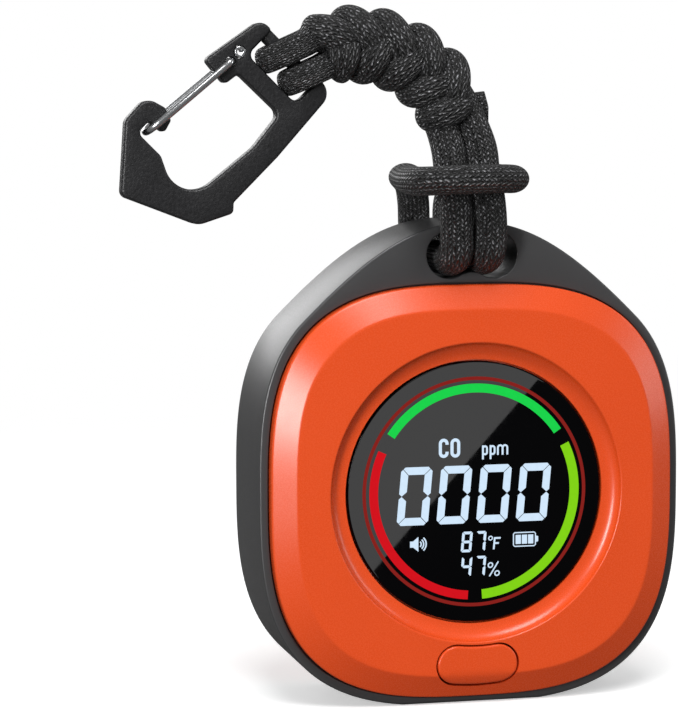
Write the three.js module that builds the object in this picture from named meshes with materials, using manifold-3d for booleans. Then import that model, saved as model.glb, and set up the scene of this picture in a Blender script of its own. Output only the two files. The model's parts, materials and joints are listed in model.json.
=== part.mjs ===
// Portable carbon monoxide detector: a rounded square housing with a magnetic back, a round display,
// one test button, and a paracord lanyard that ends in a flat wire-gate clip.
// Millimetres, +Z up. The display faces -Y, and +X is on the right of a person who faces it.
import * as THREE from "three";
import { mergeVertices } from "three/addons/utils/BufferGeometryUtils.js";
import Module from "manifold-3d";

// Fits
const GAP = 0.3; // between two pieces that seat on each other
const PUSH_TRAVEL = 0.5; // how far the test button moves

// Housing. Depths are counted from the frame's front face, towards the back.
const BODY_WIDTH = 68; // the rounded square, across
const SQUARENESS = 3; // exponent of the rounded square: 2 is a circle, more is squarer
const BASE_CUT = 0.4; // cut off the bottom, so that the housing stands on a flat
const LUG_RISE = 8.2; // how far the lanyard lug rises above the rounded square
const LUG_TIP = 9.5; // half the flat-topped stretch of the lug's tip
const LUG_FLANK = 14.1; // length of the straighter stretch of the lug's flanks
const FRAME_DEPTH = 19.2;
const FRAME_EDGE = 0.35; // bevel on the frame's edges
const FRAME_RIM = 1.3; // frame left around a cover
const FRAME_WALL = 3;
const REBATE_DEPTH = 1.5; // step that a cover sits in
const COVER_WALL = 1.8;
const SIDES = 60; // facets round the rounded square

// Front cover and display
const FRONT_SIDE = 1.45; // upright edge of the front cover, in front of the frame
const FRONT_PROUD = 3.4; // flat face of the front cover, in front of the frame
const FRONT_CHAMFER = 3.7;
const BOWL_RADIUS = 23.45; // rim of the bowl around the glass
const BOWL_STEP = 0.45; // wall left outside the bowl
const LENS_RADIUS = 20.5;
const LENS_PROUD = 1.64; // front of the glass, in front of the frame
const LENS_THICK = 1.24;
const LEDGE_WIDTH = 1.9; // ledge that the glass is glued to
const LEDGE_THICK = 1.2;
const LCD_THICK = 1.6;
const BACKLIGHT_THICK = 2.6;
const BACKLIGHT_LIP = 0.8; // how far the backlight reaches past the display panel
const HOLDER_WALL = 4;

// Test button, bent round the display
const BUTTON_WIDTH = 12.9;
const BUTTON_HEIGHT = 6.1;
const BUTTON_PROUD = 0.15;
const BUTTON_FLANGE = [15.5, 2.7, 0.8]; // width, height, thickness
const STEM_RADIUS = 1.5;
const SWITCH_SIZE = 6;
const SWITCH_HEIGHT = 2.1;
const PLUNGER_RADIUS = 1.6;
const PLUNGER_HEIGHT = 0.6;

// Rear cover
const REAR_SIDE = 0.2; // upright edge of the rear cover, behind the frame
const REAR_PROUD = 1.6; // flat face of the rear cover, behind the frame
const REAR_CHAMFER = 2.6;
const BOSS_BASE = 16.4;
const BOSS_TOP = 13.9;
const BOSS_RISE = 1.2;
const VENT_WIDTH = 1.15;
const VENT_START = 27.3; // from the housing's centre to a vent's inner end
const VENT_PITCH = 6; // degrees
const PORT_Z = 6.8; // middle of the charging port above the base
const PORT_RECESS = [13.5, 8.1]; // width and height
const PORT_RECESS_DEPTH = 1.3;
const PORT_PAD = [15.5, 8.7]; // thicker patch of the cover behind the recess

// Rear screws and their bosses
const SCREW_CIRCLE = 28.4;
const SCREW_ANGLES = [90, 211, -31]; // degrees, seen from behind
const SCREW_HEAD = [1.7, 1.1]; // radius and height
const SCREW_SHANK = [0.8, 6]; // radius and length
const SCREW_RECESS = 2.2; // depth of the recess for the head
const SCREW_CROSS = [1.2, 0.4, 0.5]; // length against the head's radius, width, depth
const SCREW_PAD = 3;
const SCREW_BOSS = 2.6;
const BOSS_FLOOR = 9; // front end of the frame's screw bosses

// Main board and what is on it
const BOARD_FACE = 5.6; // front face of the main board
const BOARD_THICK = 1.2;
const BOARD_EDGE = 1.4; // clearance to the frame's wall
const POST_CIRCLE = 26.6;
const POST_ANGLES = [40, 180, 300]; // degrees, seen from the front
const POST_RADIUS = 2.2;
const BOARD_SCREW_HEAD = [1.8, 1];
const BOARD_SCREW_SHANK = [0.7, 4.6];
const BATTERY = [32, 22, 4.6]; // width, height, thickness
const BATTERY_PLACE = [-2, 0.4]; // from the housing's centre
const BATTERY_CORNER = 1.5;
const PAD_THICK = 0.8;
const PAD_MARGIN = 2; // how far the pad stops short of the battery's edge
const SENSOR_RADIUS = 6.5;
const SENSOR_HEIGHT = 6.9;
const SENSOR_PLACE = [-10, 21.2];
const FILTER_THICK = 0.8;
const BUZZER_RADIUS = 6;
const BUZZER_HEIGHT = 4.5;
const BUZZER_PLACE = [12, 21.2];
const BUZZER_HOLE = 1.2;
const CHIP = [7, 7, 1];
const CHIP_PLACE = [21, 4];
const CLIMATE_CHIP = [3, 3, 1];
const CLIMATE_PLACE = [25, -5];
const LINK = [8, 2.5]; // pin header between the two boards
const LINK_Z = 10.8;

// Charging board and port
const CHARGE_BOARD = [18, 9.6, 1.2];
const CHARGE_BOARD_BASE = 3.4;
const PORT_SHELL = [8.94, 3.26];
const PORT_MOUTH = [8.34, 2.66];
const PORT_DEPTH = 5;
const PORT_LENGTH = 6.4;
const PORT_TONGUE = [6.7, 0.7];

// Magnet
const MAGNET_RADIUS = 12.2;
const MAGNET_THICK = 2.1;
const MAGNET_COVER = 1.6; // cover left behind the magnet
const RETAINER_THICK = 1.2;
const POCKET_WALL = 1.9;

// Lanyard eye: a slot with two lobes
const EYE_WIDTH = 14.6;
const EYE_HEIGHT = 7.4;
const EYE_WALL = 1.5; // frame left above the eye
const EYE_BUMP = 1; // rise between the two lobes

// Lanyard
const CORD_DIAMETER = 5.2;
const CORD_SIDES = 8;
const HITCH_STEPS = 66;
const PLAIT_DIAMETER = 11.2;
const PLAIT_STEPS = 12;
const LOOP_SECTION = [4.3, 2.4]; // the cord is pressed flat where it goes round the clip's bar
const LOOP_SLANT = 21; // degrees between the loops and the clip's length
const LOOP_REACH = 4.4; // from the middle of the clip's bar to the plait
const LOOP_PLACES = [1.5, -3.3]; // the two loops along the bar

// Clip. Its own frame has X along its length, towards the lanyard, and Z across it.
const CLIP_PLACE = [-31.9, 0, 27.1]; // middle of the cord slot, from the lanyard eye
const CLIP_TURN = -45; // degrees about Y
const CLIP_THICK = 3;
const CLIP_EDGE = 0.3;
const SLOT_WIDTH = 3.1;
const SLOT_LENGTH = 10.4;
const SLOT_CORNER = 1.2;
const BAR_RADIUS = 1.1;
const WIRE_RADIUS = 0.55;
const WIRE_BEND = 1.2;
const GATE_PIVOT = [-2.6, 6.4];
const GATE_END = [-18.95, 8];
const PIVOT_STUB = 1.95;
const RIVET = [0.85, 0.45]; // outer and inner radius
const RIVET_PLACE = [-0.6, 6.4];
const RIVET_PROUD = 0.25;

// Places worked out from the sizes above
const CENTRE_Z = BODY_WIDTH / 2 - BASE_CUT;
const BODY_HEIGHT = CENTRE_Z + BODY_WIDTH / 2 + LUG_RISE;
const EYE_Z = BODY_HEIGHT - EYE_WALL - EYE_HEIGHT / 2;
const COVER_HALF = BODY_WIDTH / 2 - FRAME_RIM - GAP;
const CAVITY_HALF = BODY_WIDTH / 2 - FRAME_WALL;
const REAR_FACE = FRAME_DEPTH + REAR_PROUD;
const BOSS_FACE = REAR_FACE + BOSS_RISE;
const MIDDLE_Y = (BOSS_FACE - FRONT_PROUD) / 2;
const LEDGE_FACE = LENS_THICK - LENS_PROUD + GAP;
const LEDGE_BACK = LEDGE_FACE + LEDGE_THICK;
const LCD_RADIUS = LENS_RADIUS - LEDGE_WIDTH - GAP;
const LCD_BACK = LEDGE_FACE + LCD_THICK;
const BOARD_BACK = BOARD_FACE + BOARD_THICK;
const CHARGE_FACE = REAR_FACE - PORT_RECESS_DEPTH - PORT_LENGTH - GAP - CHARGE_BOARD[2];
const POCKET_FLOOR = BOSS_FACE - MAGNET_COVER;
const REBATE_FLOOR = FRAME_DEPTH - REBATE_DEPTH;

const wasm = await Module();
wasm.setup();

// ---- Shapes ----

// The solid inside a closed geometry.
function solid(geometry) {
  const bare = geometry.clone();
  bare.deleteAttribute("normal");
  bare.deleteAttribute("uv");
  const merged = mergeVertices(bare, 1e-4);
  return new wasm.Manifold(
    new wasm.Mesh({
      numProp: 3,
      vertProperties: merged.attributes.position.array,
      triVerts: new Uint32Array(merged.index.array),
    }),
  );
}

// The geometry of a solid's surface.
function surface(body) {
  const mesh = body.getMesh();
  const geometry = new THREE.BufferGeometry();
  geometry.setAttribute("position", new THREE.BufferAttribute(new Float32Array(mesh.vertProperties), 3));
  geometry.setIndex(new THREE.BufferAttribute(new Uint32Array(mesh.triVerts), 1));
  geometry.computeVertexNormals();
  return geometry;
}

// An outline in the XZ plane, carried along Y from one depth to another.
function prism(outline, front, back, curveSegments = 12) {
  const depth = back - front;
  const geometry = new THREE.ExtrudeGeometry(outline, { depth, bevelEnabled: false, curveSegments });
  return solid(geometry.rotateX(Math.PI / 2).translate(0, back, 0));
}

// The same, with a small bevel on both edges.
function bevelledPrism(outline, front, back, bevel, curveSegments = 12) {
  const geometry = new THREE.ExtrudeGeometry(outline, {
    depth: back - front - 2 * bevel,
    bevelThickness: bevel,
    bevelSize: bevel,
    bevelOffset: -bevel,
    bevelSegments: 1,
    curveSegments,
  });
  return solid(geometry.rotateX(Math.PI / 2).translate(0, back - bevel, 0));
}

// A round bar along Y.
function disc(x, z, radius, front, back, sides = 24) {
  const bar = new THREE.CylinderGeometry(radius, radius, back - front, sides);
  return solid(bar.translate(x, (front + back) / 2, z));
}

// A box around (x, z), from one depth to another.
function block(x, z, width, height, front, back) {
  const box = new THREE.BoxGeometry(width, back - front, height);
  return solid(box.translate(x, (front + back) / 2, z));
}

// A profile of [radius, depth] points turned about the housing's centre line.
function turned(profile, sides = 60) {
  const points = profile.map(([radius, depth]) => new THREE.Vector2(radius, depth));
  return solid(new THREE.LatheGeometry(points, sides).translate(0, 0, CENTRE_Z));
}

// The rounded square, x^n + z^n = half^n, as points around the housing's centre.
function roundedSquare(half) {
  const points = [];
  for (let i = 0; i < SIDES; i += 1) {
    const angle = (2 * Math.PI * i) / SIDES;
    const across = Math.abs(Math.cos(angle)) ** SQUARENESS + Math.abs(Math.sin(angle)) ** SQUARENESS;
    const radius = half / across ** (1 / SQUARENESS);
    points.push(new THREE.Vector2(radius * Math.cos(angle), CENTRE_Z + radius * Math.sin(angle)));
  }
  return points;
}

// A closed stack of rounded squares. Each level is [half width, depth], from front to back.
function stack(levels) {
  const corners = levels.flatMap(([half, depth]) => roundedSquare(half).map((p) => [p.x, depth, p.y]));
  const front = corners.push([0, levels[0][1], CENTRE_Z]) - 1;
  const back = corners.push([0, levels[levels.length - 1][1], CENTRE_Z]) - 1;
  const last = (levels.length - 1) * SIDES;
  const faces = [];
  for (let i = 0; i < SIDES; i += 1) {
    const next = (i + 1) % SIDES;
    faces.push(front, i, next, back, last + next, last + i);
    for (let row = 0; row < last; row += SIDES) {
      faces.push(row + i, row + SIDES + i, row + SIDES + next);
      faces.push(row + i, row + SIDES + next, row + next);
    }
  }
  const geometry = new THREE.BufferGeometry();
  geometry.setAttribute("position", new THREE.BufferAttribute(new Float32Array(corners.flat()), 3));
  geometry.setIndex(faces);
  return solid(geometry);
}

// A closed outline through [x, z, radius] corners, each rounded by an arc of its radius.
function roundedOutline(corners) {
  const outline = new THREE.Shape();
  corners.forEach(([x, z, radius], i) => {
    const corner = new THREE.Vector2(x, z);
    const before = new THREE.Vector2(...corners[(i + corners.length - 1) % corners.length]);
    const after = new THREE.Vector2(...corners[(i + 1) % corners.length]);
    const back = before.sub(corner).normalize();
    const ahead = after.sub(corner).normalize();
    const half = Math.acos(THREE.MathUtils.clamp(back.dot(ahead), -1, 1)) / 2;
    const setback = radius / Math.tan(half);
    const centre = back.clone().add(ahead).setLength(radius / Math.sin(half)).add(corner);
    const start = back.multiplyScalar(setback).add(corner).sub(centre);
    const end = ahead.multiplyScalar(setback).add(corner).sub(centre);
    outline.absarc(centre.x, centre.y, radius, start.angle(), end.angle(), start.cross(end) < 0);
  });
  outline.closePath();
  return outline;
}

// A rounded rectangle around (x, z).
function roundedBox(x, z, width, height, radius) {
  const [w, h] = [width / 2, height / 2];
  const corners = [[x - w, z - h], [x + w, z - h], [x + w, z + h], [x - w, z + h]];
  return roundedOutline(corners.map((corner) => [...corner, radius]));
}

// A slot bent round the housing's centre: a band of one width with round ends.
function bentSlot(middle, width, length) {
  const end = width / 2;
  const sweep = Math.asin((length / 2 - end) / middle);
  const low = -Math.PI / 2 - sweep;
  const high = -Math.PI / 2 + sweep;
  const at = (angle) => [middle * Math.cos(angle), CENTRE_Z + middle * Math.sin(angle)];
  const outline = new THREE.Shape();
  outline.absarc(0, CENTRE_Z, middle + end, low, high, false);
  outline.absarc(...at(high), end, high, high + Math.PI, false);
  outline.absarc(0, CENTRE_Z, middle - end, high, low, true);
  outline.absarc(...at(low), end, low + Math.PI, low + 2 * Math.PI, false);
  return outline;
}

// A straight slot around (x, z) with round ends.
function pill(x, z, width, height) {
  const outline = new THREE.Shape();
  const end = height / 2;
  const reach = width / 2 - end;
  outline.absarc(x + reach, z, end, -Math.PI / 2, Math.PI / 2, false);
  outline.absarc(x - reach, z, end, Math.PI / 2, (3 * Math.PI) / 2, false);
  return outline;
}

// A point on a circle round the housing's centre, seen from the front.
function onCircle(radius, degrees) {
  const angle = THREE.MathUtils.degToRad(degrees);
  return [radius * Math.cos(angle), CENTRE_Z + radius * Math.sin(angle)];
}

// A box that starts on a circle and runs outwards, seen from the front.
function spoke(inner, outer, degrees, width, front, back) {
  const box = new THREE.BoxGeometry(outer - inner, back - front, width);
  box.translate((inner + outer) / 2, (front + back) / 2, 0);
  box.rotateY(-THREE.MathUtils.degToRad(degrees)).translate(0, 0, CENTRE_Z);
  return solid(box);
}

// A section of a cord, as wide and as thick as it says.
function cordSection(width, thick) {
  const points = [];
  for (let i = 0; i < CORD_SIDES; i += 1) {
    const angle = (2 * Math.PI * i) / CORD_SIDES;
    points.push(new THREE.Vector2((width / 2) * Math.cos(angle), (thick / 2) * Math.sin(angle)));
  }
  return new THREE.Shape(points);
}

// A cord of one section along a smooth route.
function cord(route, width, thick, steps) {
  const points = route.map((p) => new THREE.Vector3(...p));
  const extrudePath = new THREE.CatmullRomCurve3(points, false, "centripetal");
  return new THREE.ExtrudeGeometry(cordSection(width, thick), { steps, bevelEnabled: false, extrudePath });
}

// ---- Housing ----

// The frame's outline: the rounded square with a pointed arch on top and a flat base.
function frameOutline() {
  const half = BODY_WIDTH / 2;
  const diagonal = half / 2 ** (1 / SQUARENESS);
  const handle = LUG_FLANK * Math.SQRT1_2;
  const flat = half * (1 - ((half - BASE_CUT) / half) ** SQUARENESS) ** (1 / SQUARENESS);
  const sides = roundedSquare(half).filter((p) => p.y > 0 && p.y < CENTRE_Z + diagonal);
  const right = sides.filter((p) => p.x > 0).sort((a, b) => a.y - b.y);
  const outline = new THREE.Shape();
  outline.moveTo(-flat, 0);
  outline.lineTo(flat, 0);
  right.forEach((p) => outline.lineTo(p.x, p.y));
  outline.lineTo(diagonal, CENTRE_Z + diagonal);
  outline.bezierCurveTo(
    diagonal - handle,
    CENTRE_Z + diagonal + handle,
    LUG_TIP,
    BODY_HEIGHT,
    0,
    BODY_HEIGHT,
  );
  outline.bezierCurveTo(
    -LUG_TIP,
    BODY_HEIGHT,
    handle - diagonal,
    CENTRE_Z + diagonal + handle,
    -diagonal,
    CENTRE_Z + diagonal,
  );
  right.reverse().forEach((p) => outline.lineTo(-p.x, p.y));
  return outline;
}

// The lanyard eye: two round lobes with a low bump between them.
function eyeOutline() {
  const lobe = EYE_HEIGHT / 2;
  const reach = EYE_WIDTH / 2 - lobe;
  const low = EYE_Z - lobe;
  const outline = new THREE.Shape();
  outline.absarc(reach, EYE_Z, lobe, -Math.PI / 2, Math.PI / 2, false);
  outline.absarc(-reach, EYE_Z, lobe, Math.PI / 2, (3 * Math.PI) / 2, false);
  outline.bezierCurveTo(-reach / 2, low, -reach / 2, low + EYE_BUMP, 0, low + EYE_BUMP);
  outline.bezierCurveTo(reach / 2, low + EYE_BUMP, reach / 2, low, reach, low);
  return outline;
}

// One of the frame's bosses for the rear screws, with the web that joins it to the wall.
function frameBoss(degrees) {
  const [x, z] = onCircle(SCREW_CIRCLE, degrees);
  const wall = CAVITY_HALF / roundness(degrees) + GAP;
  const web = spoke(SCREW_CIRCLE, wall, degrees, SCREW_BOSS, BOSS_FLOOR, REBATE_FLOOR - GAP);
  return disc(x, z, SCREW_BOSS, BOSS_FLOOR, REBATE_FLOOR - GAP, 24).add(web);
}

// How much nearer the rounded square is on an axis than at this angle.
function roundness(degrees) {
  const angle = THREE.MathUtils.degToRad(degrees);
  const across = Math.abs(Math.cos(angle)) ** SQUARENESS + Math.abs(Math.sin(angle)) ** SQUARENESS;
  return across ** (1 / SQUARENESS);
}

// Rear screw angles as seen from the front.
const frontAngles = SCREW_ANGLES.map((degrees) => 180 - degrees);

function midFrame() {
  let frame = bevelledPrism(frameOutline(), 0, FRAME_DEPTH, FRAME_EDGE, 10);
  frame = frame.subtract(stack([[CAVITY_HALF, -1], [CAVITY_HALF, FRAME_DEPTH + 1]]));
  frame = frame.subtract(stack([[COVER_HALF + GAP, -1], [COVER_HALF + GAP, REBATE_DEPTH]]));
  frame = frame.subtract(stack([[COVER_HALF + GAP, REBATE_FLOOR], [COVER_HALF + GAP, FRAME_DEPTH + 1]]));
  frame = frame.subtract(prism(eyeOutline(), -1, FRAME_DEPTH + 1));
  for (const degrees of frontAngles) {
    const [x, z] = onCircle(SCREW_CIRCLE, degrees);
    const pilot = disc(x, z, SCREW_SHANK[0] + GAP, BOSS_FLOOR + 1, FRAME_DEPTH, 16);
    frame = frame.add(frameBoss(degrees)).subtract(pilot);
  }
  return frame;
}

// The front cover's outside, before its openings are cut.
function frontSkin() {
  const face = COVER_HALF - FRONT_CHAMFER;
  return stack([[face, -FRONT_PROUD], [COVER_HALF, -FRONT_SIDE], [COVER_HALF, REBATE_DEPTH - GAP]]);
}

function buttonOutline(margin) {
  const inner = BOWL_RADIUS + BOWL_STEP + GAP;
  return bentSlot(inner + BUTTON_HEIGHT / 2, BUTTON_HEIGHT + 2 * margin, BUTTON_WIDTH + 2 * margin);
}

function frontCover() {
  const inside = COVER_HALF - COVER_WALL;
  const ceiling = COVER_WALL - FRONT_PROUD;
  const hollow = stack([
    [inside - FRONT_CHAMFER, ceiling],
    [inside, COVER_WALL - FRONT_SIDE],
    [inside, REBATE_DEPTH + 1],
  ]);
  const seat = LENS_RADIUS + GAP;
  const cove = [0, 30, 60, 90].map((degrees) => {
    const angle = THREE.MathUtils.degToRad(degrees);
    return [
      THREE.MathUtils.lerp(seat, BOWL_RADIUS, Math.cos(angle)),
      THREE.MathUtils.lerp(-FRONT_PROUD, -LENS_PROUD, Math.sin(angle)),
    ];
  });
  const mouth = -FRONT_PROUD - 1;
  const bowl = turned([[0, mouth], [BOWL_RADIUS, mouth], ...cove, [seat, LEDGE_FACE], [0, LEDGE_FACE]]);
  let cover = frontSkin().subtract(hollow);
  cover = cover.add(disc(0, CENTRE_Z, BOWL_RADIUS + BOWL_STEP, ceiling - GAP, LEDGE_BACK, 60));
  cover = cover.subtract(bowl);
  cover = cover.subtract(disc(0, CENTRE_Z, LCD_RADIUS + GAP, -LENS_PROUD, BOARD_FACE, 48));
  for (const degrees of POST_ANGLES) {
    const [x, z] = onCircle(POST_CIRCLE, degrees);
    cover = cover.add(disc(x, z, POST_RADIUS, ceiling - GAP, BOARD_FACE - GAP, 20));
    cover = cover.subtract(disc(x, z, BOARD_SCREW_SHANK[0] + GAP, LEDGE_FACE, BOARD_FACE, 12));
  }
  return cover.subtract(prism(buttonOutline(GAP), -FRONT_PROUD - 1, REBATE_DEPTH, 8));
}

function testButton() {
  const ceiling = COVER_WALL - FRONT_PROUD;
  const top = CENTRE_Z - BOWL_RADIUS - BOWL_STEP - GAP;
  const cap = frontSkin().translate([0, -BUTTON_PROUD, 0]);
  const [width, height, thick] = BUTTON_FLANGE;
  const front = ceiling + GAP;
  const stemEnd = BOARD_FACE - SWITCH_HEIGHT - PLUNGER_HEIGHT - PUSH_TRAVEL - 2 * GAP;
  const body = cap.intersect(prism(buttonOutline(0), -FRONT_PROUD - 1, front + thick, 8));
  const stem = disc(0, top - BUTTON_HEIGHT / 2, STEM_RADIUS, front, stemEnd, 20);
  return body.add(block(0, top - height / 2, width, height, front, front + thick)).add(stem);
}

function tactSwitch() {
  const z = CENTRE_Z - BOWL_RADIUS - BOWL_STEP - GAP - BUTTON_HEIGHT / 2;
  const back = BOARD_FACE - GAP;
  const top = back - SWITCH_HEIGHT;
  return block(0, z, SWITCH_SIZE, SWITCH_SIZE, top, back).add(
    disc(0, z, PLUNGER_RADIUS, top - PLUNGER_HEIGHT, top + GAP, 20),
  );
}

// Vent angles seen from behind: two long rows, and short ones beside the charging port.
function ventAngles() {
  const row = (from, count) => Array.from({ length: count }, (_, i) => from + i * VENT_PITCH);
  return [...row(-24, 18), ...row(102, 17), 222, 228, 246, ...row(-66, 5)];
}

function rearCover() {
  const inside = COVER_HALF - COVER_WALL;
  const floor = REAR_FACE - COVER_WALL;
  const lip = REBATE_FLOOR + GAP;
  const edge = FRAME_DEPTH + REAR_SIDE;
  let cover = stack([[COVER_HALF, lip], [COVER_HALF, edge], [COVER_HALF - REAR_CHAMFER, REAR_FACE]]);
  cover = cover.subtract(stack([[inside, lip - 1], [inside, lip], [inside - REAR_CHAMFER, floor]]));
  const root = REAR_FACE - GAP;
  const boss = [[0, root], [BOSS_BASE, root], [BOSS_BASE, REAR_FACE], [BOSS_TOP, BOSS_FACE], [0, BOSS_FACE]];
  cover = cover.add(turned(boss));
  const pocket = MAGNET_RADIUS + GAP;
  const socket = disc(0, CENTRE_Z, pocket + POCKET_WALL, POCKET_FLOOR - MAGNET_THICK - GAP, floor + GAP, 36);
  cover = cover.add(socket).subtract(disc(0, CENTRE_Z, pocket, BOARD_BACK, POCKET_FLOOR, 36));
  for (const degrees of frontAngles) {
    const [x, z] = onCircle(SCREW_CIRCLE, degrees);
    const pad = disc(x, z, SCREW_PAD, REBATE_FLOOR, floor + GAP, 24);
    const recess = disc(x, z, SCREW_HEAD[0] + GAP, REAR_FACE - SCREW_RECESS, REAR_FACE + 1, 24);
    const hole = disc(x, z, SCREW_SHANK[0] + GAP, REBATE_FLOOR - 1, REAR_FACE, 16);
    cover = cover.add(pad).subtract(recess).subtract(hole);
  }
  const through = inside - REAR_CHAMFER / 2;
  const cuts = ventAngles().flatMap((degrees) => [
    spoke(VENT_START, through / roundness(degrees), 180 - degrees, VENT_WIDTH, REBATE_FLOOR, REAR_FACE + 1),
    spoke(VENT_START, BODY_WIDTH, 180 - degrees, VENT_WIDTH, FRAME_DEPTH + REAR_SIDE / 2, REAR_FACE + 1),
  ]);
  cuts.forEach((cut) => (cover = cover.subtract(cut)));
  const recessFloor = REAR_FACE - PORT_RECESS_DEPTH;
  cover = cover.add(prism(pill(0, PORT_Z, ...PORT_PAD), lip + GAP, floor + GAP, 8));
  cover = cover.subtract(prism(pill(0, PORT_Z, ...PORT_RECESS), recessFloor, REAR_FACE + 1, 8));
  const mouth = pill(0, PORT_Z, PORT_SHELL[0] + 2 * GAP, PORT_SHELL[1] + 2 * GAP);
  return cover.subtract(prism(mouth, BOARD_BACK, REAR_FACE, 8));
}

// ---- Inside ----

function mainBoard() {
  const half = CAVITY_HALF - BOARD_EDGE;
  let board = stack([[half, BOARD_FACE], [half, BOARD_BACK]]);
  for (const degrees of POST_ANGLES) {
    const hole = disc(...onCircle(POST_CIRCLE, degrees), BOARD_SCREW_SHANK[0] + GAP, 0, FRAME_DEPTH, 16);
    board = board.subtract(hole);
  }
  return board;
}

function displayHolder() {
  const inner = LCD_RADIUS + BACKLIGHT_LIP + GAP;
  const front = LEDGE_BACK + GAP;
  const back = BOARD_FACE - GAP;
  const ring = disc(0, CENTRE_Z, inner + HOLDER_WALL, front, back, 36);
  return ring.subtract(disc(0, CENTRE_Z, inner, front - 1, back + 1, 36));
}

// A part that stands on the back of the main board.
function onBoard(place, height, make) {
  const front = BOARD_BACK + GAP;
  return make(place[0], CENTRE_Z + place[1], front, front + height);
}

function buzzer() {
  const can = (x, z, front, back) =>
    disc(x, z, BUZZER_RADIUS, front, back, 32).subtract(disc(x, z, BUZZER_HOLE, back - 1, back + 1, 16));
  return onBoard(BUZZER_PLACE, BUZZER_HEIGHT, can);
}

function chip([width, height, thick], place) {
  return onBoard(place, thick, (x, z, front, back) => block(x, z, width, height, front, back));
}

function batteryPad() {
  return onBoard(BATTERY_PLACE, PAD_THICK, (x, z, front, back) =>
    block(x, z, BATTERY[0] - 2 * PAD_MARGIN, BATTERY[1] - 2 * PAD_MARGIN, front, back),
  );
}

function batteryCell() {
  const front = BOARD_BACK + PAD_THICK + 2 * GAP;
  const [x, z] = [BATTERY_PLACE[0], CENTRE_Z + BATTERY_PLACE[1]];
  const outline = roundedBox(x, z, BATTERY[0], BATTERY[1], BATTERY_CORNER);
  return bevelledPrism(outline, front, front + BATTERY[2], 1, 4);
}

function chargePort() {
  const back = REAR_FACE - PORT_RECESS_DEPTH;
  const shell = prism(pill(0, PORT_Z, ...PORT_SHELL), back - PORT_LENGTH, back, 8);
  const mouth = prism(pill(0, PORT_Z, ...PORT_MOUTH), back - PORT_DEPTH, back + 1, 8);
  const tongue = block(0, PORT_Z, ...PORT_TONGUE, back - PORT_LENGTH + GAP, back - GAP);
  return shell.subtract(mouth).add(tongue);
}

function chargeBoard() {
  const z = CHARGE_BOARD_BASE + CHARGE_BOARD[1] / 2;
  return block(0, z, CHARGE_BOARD[0], CHARGE_BOARD[1], CHARGE_FACE, CHARGE_FACE + CHARGE_BOARD[2]);
}

// A round-headed screw along Y with its head towards the back.
function screw([headRadius, headHeight], [shankRadius, shankLength]) {
  const [across, wide, deep] = SCREW_CROSS;
  const head = disc(0, 0, headRadius, 0, headHeight, 16);
  const arm = block(0, 0, headRadius * across, wide, headHeight - deep, headHeight + 1);
  const cross = arm.add(block(0, 0, wide, headRadius * across, headHeight - deep, headHeight + 1));
  return head.add(disc(0, 0, shankRadius, -shankLength, GAP, 8)).subtract(cross);
}

// ---- Lanyard ----

// The cord's route through the eye: down in front of the frame, back through the eye, up behind it,
// round the front in one loop, and the same way back. Heights are counted from the eye's middle.
const FRONT_RUN = -CORD_DIAMETER / 2 - GAP;
const BACK_RUN = FRAME_DEPTH + CORD_DIAMETER / 2 + GAP;
const HITCH_ROUTE = [
  [-4.3, -1.9, 15.1],
  [-4.1, -2.5, 12.4],
  [-3.5, FRONT_RUN, 8.4],
  [-3.3, FRONT_RUN, 4.2],
  [-3.2, -2.2, 1.5],
  [-3.2, 0.2, 0.45],
  [-3.2, FRAME_DEPTH / 4, 0.3],
  [-3.3, (3 * FRAME_DEPTH) / 4, 0.3],
  [-3.4, FRAME_DEPTH - 0.2, 0.45],
  [-3.4, BACK_RUN - 0.7, 1.5],
  [-3.5, BACK_RUN, 4.2],
  [-3.6, BACK_RUN, 7.4],
  [-4.4, BACK_RUN - 1.4, 10.4],
  [-6.2, 17, 11.7],
  [-7.8, 11, 11.8],
  [-9.2, 4.5, 11.6],
  [-9.9, -1.2, 11.5],
  [-8.8, -5.6, 11.6],
  [-5, -8, 11.8],
  [-0.8, -8.3, 11.9],
  [3, -7.5, 11.9],
  [5.6, -4.4, 11.8],
  [6.4, 0.5, 11.7],
  [6.1, 7, 11.8],
  [5.1, 14, 11.8],
  [3.6, BACK_RUN - 2.2, 11],
  [2.5, BACK_RUN - 0.1, 7.8],
  [2.3, BACK_RUN, 4.2],
  [2.2, BACK_RUN - 0.7, 1.5],
  [2.1, FRAME_DEPTH - 0.2, 0.45],
  [2, (3 * FRAME_DEPTH) / 4, 0.3],
  [2, FRAME_DEPTH / 4, 0.3],
  [2, 0.2, 0.45],
  [2, -2.2, 1.5],
  [2.1, FRONT_RUN, 4.2],
  [1.8, FRONT_RUN, 8.4],
  [1.1, -2.5, 12.4],
  [0.9, -1.9, 15.1],
];

// The plait's centre line, from the hitch to the clip.
const PLAIT_ROUTE = [
  [-2.75, -0.6, 21],
  [-3.3, -0.3, 23],
  [-4.9, 0, 25.4],
  [-7.4, 0, 28.2],
  [-10.75, 0, 30.5],
  [-14.7, 0, 32],
  [-19.1, 0, 32.5],
  [-22, 0, 32.1],
  [-23.7, 0, 31.4],
];

// The plait, with a round end where it turns against the hitch.
function plait() {
  const end = new THREE.SphereGeometry(PLAIT_DIAMETER / 2, 20, 12);
  const strands = solid(cord(PLAIT_ROUTE, PLAIT_DIAMETER, PLAIT_DIAMETER, PLAIT_STEPS));
  return strands.add(solid(end.translate(...PLAIT_ROUTE[0])));
}

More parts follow.
